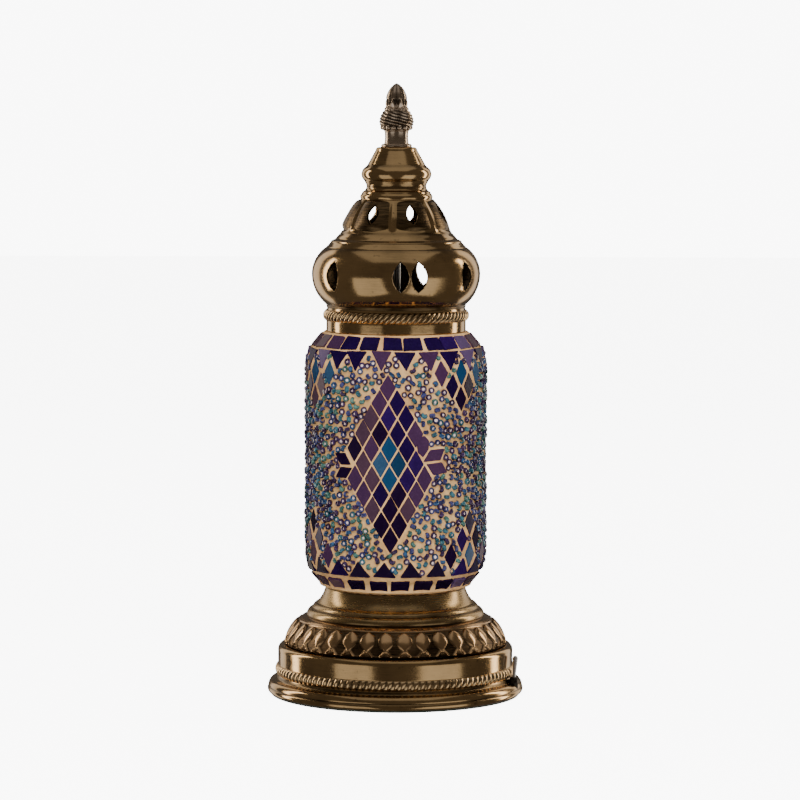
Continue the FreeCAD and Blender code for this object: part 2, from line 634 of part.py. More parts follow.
def bulb():
    cap = dim("bulb_cap_radius")
    globe = dim("bulb_radius")
    seat = dim("bulb_level")
    node(turned("BulbCap", [
        (9.0, 0), (cap - 1.4, 0), (cap - 0.1, 2.0), (cap, 3.0), (cap, 23.0), (cap - 0.5, 24.0),
        (cap - 1.0, 24.0), (cap - 0.8, 3.4), (cap - 2.0, 0.8), (9.0, 0.8)], seat), "bulb_cap")
    node(turned("BulbInsulator", [
        (2.6, -2.0), (4.6, -2.0), (8.9, 0.0), (8.9, 0.8), (2.6, 0.8)], seat), "bulb_insulator")
    node(turned("BulbTip", [
        (0, -2.8), via(1.7, -2.5), (2.5, -1.4), (2.5, 0.2), (0, 0.2)], seat), "bulb_tip")
    node(turned("BulbGlass", [
        (10.4, 14.0), (11.4, 14.0), (11.4, 25.0), via(15.0, 32.0), (globe, 49.0),
        via(globe.value * 0.7071, 49.0 + globe.value * 0.7071), (0.8, globe + 49.0),
        (0, globe + 49.0), (0, globe + 48.0), (0.8, globe + 48.0),
        via(globe.value * 0.7071 - 0.7, 48.3 + globe.value * 0.7071),
        (globe - 1.0, 49.0), via(14.1, 32.6), (10.4, 25.4)], seat), "bulb_glass")
    node(turned("BulbStem", [
        (0, 15.0), (10.3, 15.0), (10.3, 16.0), (4.0, 18.0), (2.2, 30.0), (1.4, 56.0), (0, 56.4)],
        seat), "bulb_stem")
    sticks = [cylinder(f"Filament{i}", 0.8, 26.0, x, y, seat + 32.0)
              for i, (x, y, _) in enumerate(around(4, 6.5, 45.0))]
    group("bulb_filaments", sticks)


# ------------------------------------------------------------------ switch
def switch():
    """A small toggle switch standing on the rim, its lever leaning back at rest."""
    seat = dim("switch_seat")
    angle = DIMENSIONS["switch_angle"]
    x, y, _ = next(around(1, dim("switch_circle"), angle))
    body = block("SwitchBody", 3.2, 8.0, 3.0, x - 0.3, y, 2.9, turn=angle - 90.0)
    node(body, "switch_body")
    bush = cut("Bush", cylinder("BushTube", 2.6, seat - 2.4, x, y, 5.9),
               cylinder("BushBore", 1.9, 12.0, x, y, 7.4))
    node(bush, "switch_bush")
    node(place(ring("SwitchWasher", 3.6, 2.65, 0.4, 0.0), seat, x, y), "switch_washer")
    nut = hexagon("SwitchNut", 6.4, 1.8, x, y, seat + 0.4)
    node(cut("SwitchNut", nut, cylinder("SwitchNutBore", 2.62, 4.0, x, y, seat - 0.6)), "switch_nut")
    pins = []
    for i, side in enumerate((-2.6, 0.0, 2.6)):
        turn = math.radians(angle)
        pin_x = x + math.cos(turn) * side - math.sin(turn) * 3.9
        pin_y = y + math.sin(turn) * side + math.cos(turn) * 3.9
        pins.append(block(f"SwitchPin{i}", 4.0, 0.8, 0.8, pin_x, pin_y, 4.6, turn=angle - 90.0))
    group("switch_terminals", pins)

    lever = turned("Lever", [
        (0, -1.72), (0.3, -1.72), via(1.75, 0), (0.95, 1.47), (1.05, 4.0), (1.6, 12.6),
        via(1.25, 14.3), (0.3, 14.9), (0, 14.9)])
    place(lever, dim("lever_pivot"), x, y)
    back = FreeCAD.Vector(-math.sin(math.radians(angle)), math.cos(math.radians(angle)), 0)
    lever.Placement.Rotation = FreeCAD.Rotation(back, DIMENSIONS["lever_throw"])
    node(lever, "switch_lever")
    return x.value, y.value


# ------------------------------------------------------------------ wires inside the base
WIRE_RADIUS = 1.0


def wire(name, points):
    """An insulated wire: straight runs joined by tangent arcs, swept as a round tube."""
    corners = [FreeCAD.Vector(*point) for point in points]
    edges = []
    start = corners[0]
    length = 0.0
    for before, here, after in zip(corners, corners[1:], corners[2:]):
        into = (here - before).normalize()
        out = (after - here).normalize()
        turn = into.getAngle(out)
        reach = 0.45 * min((here - before).Length, (after - here).Length)
        radius = reach / math.tan(turn / 2)
        first = here - into * reach
        last = here + out * reach
        bisector = (out - into).normalize()
        middle = here + bisector * (radius / math.cos(turn / 2) - radius)
        edges.append(Part.LineSegment(start, first).toShape())
        edges.append(Part.Arc(first, middle, last).toShape())
        length += (first - start).Length + radius * turn
        start = last
    edges.append(Part.LineSegment(start, corners[-1]).toShape())
    length += (corners[-1] - start).Length
    heading = corners[1] - corners[0]
    section = Part.Wire(Part.makeCircle(WIRE_RADIUS, corners[0], heading))
    tube = doc.addObject("Part::Feature", name)
    tube.Shape = Part.Wire(edges).makePipeShell([section], True, False)
    expected = math.pi * WIRE_RADIUS ** 2 * length
    if abs(tube.Shape.Volume - expected) > 0.02 * expected:
        raise RuntimeError(f"{name}: the tube's volume doesn't match its length")
    node(tube, name)


def wiring(under, switch_x, switch_y):
    level = under.value - 2.6
    block_face = BLOCK_X + 6.2
    top = DIMENSIONS["holder_level"] + 10.4
    wire("wire_neutral", [(block_face, BLOCK_Y - 8, level), (-12, -6, level - 1.5), (-6, -5, 9.5),
                          (-1.4, -0.6, 8.0), (-1.4, 0, 20), (-1.4, 0, top)])
    wire("wire_switched", [(1.4, 0, top), (1.4, 0, 20), (1.6, -0.6, 8.0), (14, -8, 8.8), (34, -15, 9.6),
                           (54, -20, 9.0), (switch_x - 6.6, switch_y - 0.4, 5.2)])
    wire("wire_live", [(block_face, BLOCK_Y, level), (-10, 14, level - 4), (12, 16, 12), (34, 6, 11),
                       (54, -7, 9.6), (switch_x - 5.0, switch_y + 4.6, 5.2)])
    wire("wire_earth", [(block_face, BLOCK_Y + 8, level), (-8, 22, level - 2), (6, 30, level - 1),
                        (17.4, 33.0, under.value - 1.3)])


# ------------------------------------------------------------------ build, check and write
mosaic_lamp_glass()
mosaic()
dome()
dome_hardware()
base_shells()
weight_underside = clamp_stack()
bottom_closure(weight_underside)
cord_inlet()
connections(weight_underside)
lamp_holder()
bulb()
wiring(weight_underside, *switch())
doc.recompute()

for item in doc.Objects:
    if "Invalid" in item.State or "Error" in item.State:
        raise RuntimeError(f"{item.Name} failed: {item.State}")
for name, item in NODES.items():
    if item.Shape.isNull() or not item.Shape.isValid():
        raise RuntimeError(f"{name} has no valid shape")

os.makedirs("parts", exist_ok=True)
for name, item in NODES.items():
    item.Shape.exportStep(os.path.join("parts", f"{name}.step"))
print(f"{len(NODES)} nodes written")
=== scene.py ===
"""Mosaic glass table lamp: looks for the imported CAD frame. Metres, +Z up, front towards -Y."""
import math

import bmesh
import bpy
import numpy as np
from mathutils import Matrix, Vector


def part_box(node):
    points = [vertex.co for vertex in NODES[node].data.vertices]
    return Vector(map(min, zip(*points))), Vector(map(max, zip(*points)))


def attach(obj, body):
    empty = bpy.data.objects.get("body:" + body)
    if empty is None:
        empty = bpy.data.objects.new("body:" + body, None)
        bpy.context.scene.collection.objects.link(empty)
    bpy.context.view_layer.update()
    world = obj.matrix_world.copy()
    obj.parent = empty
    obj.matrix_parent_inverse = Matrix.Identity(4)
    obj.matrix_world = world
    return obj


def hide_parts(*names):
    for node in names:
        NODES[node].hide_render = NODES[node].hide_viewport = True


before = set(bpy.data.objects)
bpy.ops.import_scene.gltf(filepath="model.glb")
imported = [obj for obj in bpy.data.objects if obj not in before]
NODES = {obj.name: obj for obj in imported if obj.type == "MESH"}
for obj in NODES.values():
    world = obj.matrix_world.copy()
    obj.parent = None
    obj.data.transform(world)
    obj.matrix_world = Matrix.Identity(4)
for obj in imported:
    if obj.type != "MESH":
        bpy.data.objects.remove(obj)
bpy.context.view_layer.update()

MM = 0.001


# ------------------------------------------------------------------ camera
LENS_MM, SENSOR_MM = 158.6, 36.0
ROLL_DEGREES = 0.15


def make_camera():
    """Level with the top of the lamp, looking slightly down at its middle."""
    distance = 2.128
    height = 0.3596
    target = Vector((0.0025, 0.0, 0.1786))
    data = bpy.data.cameras.new("camera")
    data.lens = LENS_MM
    data.sensor_width = SENSOR_MM
    camera = bpy.data.objects.new("camera", data)
    bpy.context.scene.collection.objects.link(camera)
    camera.location = Vector((target.x, -distance, height))
    aim = (target - camera.location).to_track_quat("-Z", "Y")
    roll = Matrix.Rotation(math.radians(ROLL_DEGREES), 4, "Z")
    camera.matrix_world = Matrix.Translation(camera.location) @ aim.to_matrix().to_4x4() @ roll
    data.clip_end = 20.0
    bpy.context.scene.camera = camera


make_camera()


# ------------------------------------------------------------------ shader nodes
class Shader:
    """A material under construction: short names for the nodes that it uses."""

    def __init__(self, name):
        self.material = bpy.data.materials.new(name)
        self.material.use_nodes = True
        self.tree = self.material.node_tree
        self.tree.nodes.clear()
        self.out = self.tree.nodes.new("ShaderNodeOutputMaterial")
        self.surface = self.tree.nodes.new("ShaderNodeBsdfPrincipled")
        self.link(self.surface.outputs[0], self.out.inputs[0])
        self.coords = self.tree.nodes.new("ShaderNodeTexCoord").outputs["Object"]

    def link(self, source, target):
        self.tree.links.new(source, target)

    def put(self, socket, value):
        if isinstance(value, bpy.types.NodeSocket):
            self.link(value, socket)
        else:
            socket.default_value = value

    def stretch(self, scale):
        node = self.tree.nodes.new("ShaderNodeMapping")
        self.link(self.coords, node.inputs["Vector"])
        node.inputs["Scale"].default_value = scale
        return node.outputs[0]

    def noise(self, scale, detail=3.0, rough=0.5, vector=None):
        node = self.tree.nodes.new("ShaderNodeTexNoise")
        self.link(vector or self.coords, node.inputs["Vector"])
        node.inputs["Scale"].default_value = scale
        node.inputs["Detail"].default_value = detail
        node.inputs["Roughness"].default_value = rough
        return node.outputs["Fac"]

    def cells(self, scale):
        node = self.tree.nodes.new("ShaderNodeTexVoronoi")
        self.link(self.coords, node.inputs["Vector"])
        node.inputs["Scale"].default_value = scale
        return node.outputs["Distance"]

    def ramp(self, value, stops):
        node = self.tree.nodes.new("ShaderNodeValToRGB")
        band = node.color_ramp
        while len(band.elements) < len(stops):
            band.elements.new(0.5)
        for element, (place, colour) in zip(band.elements, stops):
            element.position = place
            element.color = tuple(colour) + (1.0,) * (4 - len(colour))
        self.link(value, node.inputs[0])
        return node.outputs[0]

    def span(self, value, low, high, new_low=0.0, new_high=1.0):
        node = self.tree.nodes.new("ShaderNodeMapRange")
        self.link(value, node.inputs["Value"])
        for socket, number in zip(("From Min", "From Max", "To Min", "To Max"),
                                  (low, high, new_low, new_high)):
            node.inputs[socket].default_value = number
        return node.outputs[0]

    def mix(self, factor, first, second):
        node = self.tree.nodes.new("ShaderNodeMix")
        node.data_type = "RGBA"
        self.put(node.inputs[0], factor)
        for socket, value in ((node.inputs[6], first), (node.inputs[7], second)):
            self.put(socket, tuple(value) + (1.0,)
                     if isinstance(value, (tuple, list)) and len(value) == 3 else value)
        return node.outputs[2]

    def maths(self, operation, first, second):
        node = self.tree.nodes.new("ShaderNodeMath")
        node.operation = operation
        node.use_clamp = operation in ("MULTIPLY", "ADD")
        self.put(node.inputs[0], first)
        self.put(node.inputs[1], second)
        return node.outputs[0]

    def attribute(self, name):
        node = self.tree.nodes.new("ShaderNodeAttribute")
        node.attribute_name = name
        return node.outputs["Fac"]

    def bump(self, height, distance, strength=1.0, normal=None):
        node = self.tree.nodes.new("ShaderNodeBump")
        node.inputs["Strength"].default_value = strength
        node.inputs["Distance"].default_value = distance
        self.link(height, node.inputs["Height"])
        if normal is not None:
            self.link(normal, node.inputs["Normal"])
        return node.outputs[0]

    def finish(self, **inputs):
        for name, value in inputs.items():
            socket = self.surface.inputs[name.replace("_", " ")]
            if isinstance(value, (tuple, list)) and len(value) == 3:
                value = tuple(value) + (1.0,)
            self.put(socket, value)
        return self.material


def brass(name, bright, dark, low_rough=0.11, brush=0.35):
    """Antiqued brass: dark in the hollows, partly patina and partly painted shade, bright rubbed edges,
    fine turning lines round the axis.
    """
    s = Shader(name)
    turning = s.noise(2.4, 4.0, 0.7, s.stretch((40.0, 40.0, 1500.0)))
    cloud = s.noise(38.0, 4.0, 0.6)
    spots = s.noise(240.0, 3.0, 0.65)
    relief = s.attribute("relief")
    # painted shade as well as patina: the relief mark is low in creases, at joints and on inner faces,
    # and there it picks the dark colour
    wear_and_shade = s.span(s.maths("ADD", relief, s.span(cloud, 0.3, 0.7, -0.16, 0.16)), 0.18, 0.78)
    colour = s.mix(wear_and_shade, dark, bright)
    colour = s.mix(s.span(cloud, 0.45, 0.72, 0.0, 0.35), colour, tuple(c * 0.62 for c in bright))
    colour = s.mix(s.span(turning, 0.4, 0.7, 0.0, 0.30), colour,
                   tuple(min(1.0, c * 1.25) for c in bright))
    colour = s.mix(s.span(spots, 0.63, 0.74, 0.0, 0.5), colour, dark)
    rough = s.span(s.maths("ADD", s.span(turning, 0.3, 0.75, 0.0, 0.5),
                           s.span(cloud, 0.3, 0.75, 0.0, 0.5)),
                   0.2, 0.9, low_rough, low_rough + 0.13)
    rough = s.maths("ADD", rough, s.span(relief, 0.1, 0.5, 0.20, 0.0))
    lines = s.bump(turning, 0.00003, brush)
    dents = s.bump(cloud, 0.0005, 0.16, lines)
    pits = s.bump(spots, 0.00008, 0.35, dents)
    return s.finish(Base_Color=colour, Metallic=1.0, Roughness=rough, Normal=pits)


def plain_metal(name, colour, rough, grain=(300.0, 300.0, 300.0), depth=0.00002):
    s = Shader(name)
    streak = s.noise(1.0, 3.0, 0.6, s.stretch(grain))
    cloud = s.noise(60.0, 3.0, 0.6)
    tint = s.mix(s.span(cloud, 0.35, 0.7), tuple(c * 0.72 for c in colour), colour)
    roughness = s.span(s.maths("ADD", s.maths("MULTIPLY", streak, 0.5),
                               s.maths("MULTIPLY", cloud, 0.5)),
                       0.3, 0.7, rough * 0.7, rough * 1.35)
    return s.finish(Base_Color=tint, Metallic=1.0, Roughness=roughness,
                    Normal=s.bump(streak, depth))


def moulded(name, colour, rough, grain=900.0):
    """Moulded plastic, rubber, paint or iron: a fine grain over a faint mottling."""
    s = Shader(name)
    grainy = s.noise(grain, 2.0, 0.6)
    cloud = s.noise(45.0, 3.0, 0.6)
    tint = s.mix(s.span(cloud, 0.35, 0.7), tuple(c * 0.75 for c in colour),
                 tuple(min(1, c * 1.15) for c in colour))
    roughness = s.span(cloud, 0.3, 0.7, rough * 0.8, min(1.0, rough * 1.2))
    return s.finish(Base_Color=tint, Roughness=roughness, Normal=s.bump(grainy, 0.00005, 0.5))


def clear(name, colour, rough=0.03):
    s = Shader(name)
    ripple = s.noise(55.0, 2.0, 0.5)
    seeds = s.noise(420.0, 2.0, 0.5)
    tint = s.mix(s.span(ripple, 0.3, 0.7), colour, tuple(c * 0.94 for c in colour))
    bumps = s.bump(seeds, 0.00002, 0.2, s.bump(ripple, 0.0004, 0.15))
    roughness = s.span(seeds, 0.4, 0.7, rough, rough + 0.04)
    return s.finish(Base_Color=tint, Roughness=roughness, Transmission_Weight=1.0, IOR=1.5,
                    Normal=bumps)


def tile_glass(name, colour, second):
    """Stained sheet glass cut into tiles: streaks of a second colour, a wavy fire-polished face."""
    s = Shader(name)
    streaks = s.noise(70.0, 4.0, 0.62, s.stretch((1.0, 1.0, 0.35)))
    wave = s.noise(120.0, 2.0, 0.5)
    specks = s.noise(900.0, 2.0, 0.6)
    tint = s.mix(s.span(streaks, 0.36, 0.66), colour, second)
    tint = s.mix(s.span(specks, 0.52, 0.75, 0.0, 0.30), tint,
                 tuple(min(1.0, c * 1.7 + 0.01) for c in colour))
    roughness = s.span(streaks, 0.3, 0.7, 0.14, 0.26)
    bumps = s.bump(specks, 0.00002, 0.25, s.bump(wave, 0.0003, 0.35))
    return s.finish(Base_Color=tint, Roughness=roughness, IOR=1.5, Specular_IOR_Level=0.06,
                    Normal=bumps)


def bead_glass(name, colour, second):
    s = Shader(name)
    mottle = s.noise(520.0, 3.0, 0.6)
    wide = s.noise(90.0, 2.0, 0.5)
    tint = s.mix(s.span(mottle, 0.38, 0.62), colour, second)
    tint = s.mix(s.span(wide, 0.4, 0.62, 0.0, 0.5), tint, tuple(c * 0.45 for c in colour))
    roughness = s.span(mottle, 0.3, 0.7, 0.05, 0.16)
    return s.finish(Base_Color=tint, Roughness=roughness, IOR=1.52, Coat_Weight=0.6,
                    Coat_Roughness=0.03,
                    Normal=s.bump(mottle, 0.00006, 0.3))


def grout_paste(name):
    """Cement grout: cream with peach and grey stains, sandy and slightly pitted."""
    s = Shader(name)
    cloud = s.noise(60.0, 4.0, 0.65)
    sand = s.noise(1300.0, 3.0, 0.7)
    pits = s.cells(420.0)
    tint = s.ramp(cloud, [(0.30, (0.36, 0.185, 0.070)), (0.48, (0.52, 0.295, 0.115)),
                          (0.66, (0.62, 0.38, 0.165))])
    tint = s.mix(s.span(sand, 0.42, 0.66, 0.0, 0.32), tint, (0.34, 0.19, 0.085))
    tint = s.mix(s.span(pits, 0.0, 0.16, 0.45, 0.0), tint, (0.20, 0.11, 0.05))
    bumps = s.bump(sand, 0.00016, 0.6, s.bump(pits, 0.0003, 0.35))
    roughness = s.span(sand, 0.3, 0.7, 0.62, 0.86)
    return s.finish(Base_Color=tint, Roughness=roughness, Normal=bumps)


def felt_cloth(name):
    s = Shader(name)
    fibre = s.noise(1800.0, 4.0, 0.8)
    cloud = s.noise(90.0, 3.0, 0.6)
    tint = s.mix(s.span(cloud, 0.3, 0.7), (0.012, 0.016, 0.012), (0.030, 0.038, 0.030))
    tint = s.mix(s.span(fibre, 0.5, 0.8, 0.0, 0.5), tint, (0.09, 0.10, 0.085))
    return s.finish(Base_Color=tint, Roughness=0.95, Sheen_Weight=0.4,
                    Normal=s.bump(fibre, 0.0003, 0.8))


BRASS = brass("aged_brass", (0.60, 0.395, 0.185), (0.032, 0.020, 0.011), 0.10)
NECK_BRASS = brass("neck_brass", (0.47, 0.320, 0.150), (0.030, 0.018, 0.010), 0.21, 0.55)
ROPE_BRASS = brass("rope_brass", (0.62, 0.43, 0.23), (0.012, 0.007, 0.003), 0.15, 0.15)
LEAF_BRASS = brass("leaf_brass", (0.58, 0.37, 0.19), (0.013, 0.008, 0.004), 0.15, 0.15)
FINIAL_BRASS = brass("finial_brass", (0.66, 0.52, 0.39), (0.035, 0.024, 0.016), 0.22, 0.12)


# ------------------------------------------------------------------ mesh helpers
def via(radius, height):
    """A point that an arc passes through, between two corners of an outline."""
    return ("via", radius, height)


def arc_points(start, middle, end, step):
    """Points along the arc through three points, without its two ends."""
    (ax, ay), (bx, by), (cx, cy) = start, middle, end
    d = 2 * (ax * (by - cy) + bx * (cy - ay) + cx * (ay - by))
    if abs(d) < 1e-9:
        return [middle]
    aa, bb, cc = ax * ax + ay * ay, bx * bx + by * by, cx * cx + cy * cy
    ux = (aa * (by - cy) + bb * (cy - ay) + cc * (ay - by)) / d
    uy = (aa * (cx - bx) + bb * (ax - cx) + cc * (bx - ax)) / d
    radius = math.hypot(ax - ux, ay - uy)
    a0 = math.atan2(ay - uy, ax - ux)
    a1 = math.atan2(by - uy, bx - ux)
    a2 = math.atan2(cy - uy, cx - ux)
    sweep = (a2 - a0) % math.tau
    if (a1 - a0) % math.tau > sweep:
        sweep -= math.tau
    count = max(2, int(abs(sweep) * radius / step))
    return [(ux + radius * math.cos(a0 + sweep * i / count),
             uy + radius * math.sin(a0 + sweep * i / count))
            for i in range(1, count)]


def trace(points, step=0.6, soften=0.35, closed=True):
    """An outline of corners and arcs as evenly spaced points, its corners slightly rounded."""
    corners, arcs = [], {}
    for point in points:
        if point[0] == "via":
            arcs[len(corners) - 1] = (point[1], point[2])
        else:
            corners.append((float(point[0]), float(point[1])))
    line = []
    count = len(corners)
    for i, start in enumerate(corners):
        if i == count - 1 and not closed:
            line.append(start)
            break
        end = corners[(i + 1) % count]
        line.append(start)
        if i in arcs:
            line.extend(arc_points(start, arcs[i], end, step))
        else:
            length = math.dist(start, end)
            ends = min(soften, length * 0.3)
            marks = [ends / length]
            pieces = max(1, int((length - 2 * ends) / step))
            marks += [(ends + (length - 2 * ends) * k / pieces) / length
                      for k in range(1, pieces + 1)]
            line.extend((start[0] + (end[0] - start[0]) * t, start[1] + (end[1] - start[1]) * t)
                        for t in marks)
    line = np.array(line)
    smooth = line.copy()
    smooth[1:-1] = line[1:-1] * 0.5 + (line[:-2] + line[2:]) * 0.25
    if closed:
        smooth[0] = line[0] * 0.5 + (line[-1] + line[1]) * 0.25
        smooth[-1] = line[-1] * 0.5 + (line[-2] + line[0]) * 0.25
    smooth[line[:, 0] < 1e-6, 0] = 0.0
    return smooth


def outline_normals(line, closed=True):
    ahead = np.roll(line, -1, 0)
    behind = np.roll(line, 1, 0)
    if not closed:
        ahead[-1] = line[-1]
        behind[0] = line[0]
    along = ahead - behind
    length = np.maximum(np.hypot(along[:, 0], along[:, 1]), 1e-9)[:, None]
    return np.stack([along[:, 1], -along[:, 0]], 1) / length


def new_object(name, vertices, faces, materials, face_material=None):
    mesh = bpy.data.meshes.new(name)
    mesh.from_pydata(vertices, [], faces)
    for material in materials:
        mesh.materials.append(material)
    if face_material is not None:
        mesh.polygons.foreach_set("material_index", np.asarray(face_material, np.int32))
    mesh.update()
    item = bpy.data.objects.new(name, mesh)
    bpy.context.scene.collection.objects.link(item)
    return item


def face_outward(item, weld=None):
    """Turn every face outward, after welding points nearer than weld metres."""
    work = bmesh.new()
    work.from_mesh(item.data)
    if weld:
        bmesh.ops.remove_doubles(work, verts=work.verts, dist=weld)
    bmesh.ops.recalc_face_normals(work, faces=work.faces)
    work.to_mesh(item.data)
    work.free()


def mark_relief(item, values):
    """Store how high each point is and how rubbed, and where shade is painted dark, which the brass
    shader reads.
    """
    layer = item.data.attributes.new("relief", "FLOAT", "POINT")
    layer.data.foreach_set("value", values)


def smooth_by_angle(item, degrees=38.0):
    """Smooth shading, with edges sharper than the angle kept hard."""
    mesh = item.data
    mesh.polygons.foreach_set("use_smooth", np.ones(len(mesh.polygons), bool))
    work = bmesh.new()
    work.from_mesh(mesh)
    limit = math.radians(degrees)
    for edge in work.edges:
        if len(edge.link_faces) == 2 and edge.calc_face_angle(0.0) > limit:
            edge.smooth = False
    work.to_mesh(mesh)
    work.free()


WELD = 1e-7


def lathe(name, line, base, segments, material, relief=None, closed=True):
    """Turn an outline (mm) round the axis. relief(angle, r, z) gives a rise along the normal, in mm,
    and a 0..1 mark of how high and rubbed the spot is, low also where shade is painted, which the brass
    shader reads."""
    angle = np.linspace(0, math.tau, segments, endpoint=False)[None, :]
    normals = outline_normals(line, closed)
    r, z = line[:, :1], line[:, 1:]
    rise = np.zeros((len(line), segments))
    mark = np.full((len(line), segments), 0.62)
    if relief:
        rise, mark = relief(angle, r, z)
        rise = rise + np.zeros((len(line), segments))
        mark = mark + np.zeros((len(line), segments))
    radius = r + normals[:, :1] * rise
    height = z + normals[:, 1:] * rise
    on_axis = (line[:, 0] < 1e-6)[:, None]
    radius = np.where(on_axis, 0.0, radius)
    x = radius * np.sin(angle)
    y = -radius * np.cos(angle)
    vertices = np.stack([x, y, height + base], 2).reshape(-1, 3) * MM
    rows = len(line)
    a = np.arange(rows if closed else rows - 1)[:, None] * segments
    b = ((np.arange(rows if closed else rows - 1) + 1) % rows)[:, None] * segments
    j = np.arange(segments)[None, :]
    k = (j + 1) % segments
    faces = np.stack([a + j, a + k, b + k, b + j], 2).reshape(-1, 4)
    item = new_object(name, vertices.tolist(), faces.tolist(), [material])
    mark_relief(item, mark.reshape(-1).astype(np.float32))
    face_outward(item, WELD)
    smooth_by_angle(item)
    return item


def smoothstep(low, high, value):
    t = np.clip((value - low) / (high - low), 0.0, 1.0)
    return t * t * (3 - 2 * t)


def joined(parts):
    """Vertices and faces of several meshes as one."""
    vertices, faces = [], []
    for points, sides in parts:
        shift = len(vertices)
        vertices += points
        faces += [tuple(v + shift for v in side) for side in sides]
    return vertices, faces


def facing(azimuth):
    """Outward and rightward directions at an azimuth in degrees."""
    turn = math.radians(azimuth)
    return Vector((math.sin(turn), -math.cos(turn), 0)), Vector((math.cos(turn), math.sin(turn), 0))


def beside(axis):
    """Two directions square to an axis and to each other."""
    other = Vector((0, 0, 1)) if abs(axis.z) < 0.9 else Vector((1, 0, 0))
    across = axis.cross(other).normalized()
    return across, axis.cross(across)


def cut_holes(item, outline, height, azimuths, inside, outside):
    """Punch a closed outline (mm, right and up) through a shell at each azimuth; return the outlines
    for the raised burrs.
    """
    cutters = []
    burrs = []
    for azimuth in azimuths:
        out, right = facing(azimuth)
        ring = [right * x + Vector((0, 0, y + height)) for x, y in outline]
        low = [tuple((p + out * inside) * MM) for p in ring]
        high = [tuple((p + out * outside) * MM) for p in ring]
        count = len(ring)
        faces = [tuple(range(count - 1, -1, -1)), tuple(range(count, 2 * count))]
        faces += [(i, (i + 1) % count, count + (i + 1) % count, count + i) for i in range(count)]
        cutters.append((low + high, faces))
        burrs.append((ring, out))
    cutter = new_object(f"{item.name}_cutter", *joined(cutters), [])
    modifier = item.modifiers.new("openings", "BOOLEAN")
    modifier.operation = "DIFFERENCE"
    modifier.solver = "EXACT"
    modifier.object = cutter
    bpy.context.view_layer.update()
    surface = item.evaluated_get(bpy.context.evaluated_depsgraph_get())
    whole = bpy.data.meshes.new_from_object(surface)
    item.modifiers.clear()
    item.data = whole
    bpy.data.objects.remove(cutter)
    smooth_by_angle(item, 30.0)
    return burrs


def tube_rings(path, radius, sides):
    """Vertices and faces of a closed tube round a ring of points (mm)."""
    count = len(path)
    vertices, faces = [], []
    for i, point in enumerate(path):
        along = (path[(i + 1) % count] - path[i - 1]).normalized()
        across, up = beside(along)
        for k in range(sides):
            a = math.tau * k / sides
            vertices.append(tuple((point + (across * math.cos(a) + up * math.sin(a)) * radius) * MM))
    for i in range(count):
        j = (i + 1) % count
        for k in range(sides):
            m = (k + 1) % sides
            faces.append((i * sides + k, i * sides + m, j * sides + m, j * sides + k))
    return vertices, faces


def merge(name, parts, material):
    """One object from several (vertices, faces) lists."""
    item = new_object(name, *joined(parts), [material])
    smooth_by_angle(item)
    return item


def stand_for(item, body, slot, *nodes):
    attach(item, body)
    if nodes:
        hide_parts(*nodes)


def heights(node):
    """In mm, the lowest point of a CAD node and how far its top is above that."""
    low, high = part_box(node)
    base = low.z / MM
    return base, high.z / MM - base


# ------------------------------------------------------------------ dome
WALL = 1.2
COLLAR = 42.2
COLLAR_STRANDS = 76
LENS_AZIMUTHS = [3.3, 15.7, 56.0, 107.5, 160.0, 211.0, 261.0, 311.6]
LENS_HEIGHT, EYE_HEIGHT = 20.2, 20.4
EYE_AZIMUTHS = [20.0, 72.0, 118.5, 165.0, 214.0, 273.0, 331.0]


def rope(strands, inside, low, high, depth, lean):
    """Relief of a rope bead outside a radius and between two heights: rounded strands leaning right."""
    def relief(angle, r, z):
        t = np.clip((z - low) / (high - low), 0.0, 1.0)
        edge = np.sin(t * math.pi) ** 0.5
        phase = angle * strands - (t - 0.5) * lean
        ridge = np.abs(np.cos(phase / 2)) ** 0.75
        outer = (r > inside) & (t > 0) & (t < 1)
        rise = np.where(outer, depth * (ridge - 0.75) * edge, 0.0)
        mark = np.where(outer & (edge > 0.05), 0.10 + 0.85 * ridge, 0.6)
        return rise, mark
    return relief


def rope_ring(name, body, base, line, strands, relief):
    """A rope bead: a ring of its own, set into the face of a shell."""
    item = lathe(name, trace(line, 0.42), base, strands * 10, ROPE_BRASS, relief)
    stand_for(item, body, "aged_brass")


def make_collar():
    base, top = heights("dome_collar")
    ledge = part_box("dome_gasket")[1].z / MM - base
    line = trace([
        (COLLAR - WALL, 0), (COLLAR, 0), (COLLAR, 6.4), (COLLAR - 0.3, 6.6), (COLLAR - 0.3, 12.8),
        (COLLAR - 0.4, top), (COLLAR - 1.6, top), (COLLAR - 1.6, ledge + 1.4), (32.0, ledge + 1.4),
        (32.0, ledge), (COLLAR - WALL, ledge)], 0.8)
    stand_for(lathe("collar_shell", line, base, 300, BRASS), "dome", "aged_brass", "dome_collar")
    rope_ring("collar_rope", "dome", base, [
        (COLLAR - 0.6, 6.3), (COLLAR, 6.3), via(COLLAR + 1.75, 9.7), (COLLAR - 0.1, 13.0),
        (COLLAR - 0.6, 13.0)], COLLAR_STRANDS,
        rope(COLLAR_STRANDS, COLLAR - 0.2, 6.3, 13.0, 1.1, 9.0))


def mirrored(points):
    """A hole outline from its right half, bottom to top."""
    return points + [(-x, y) for x, y in reversed(points) if x > 1e-6]


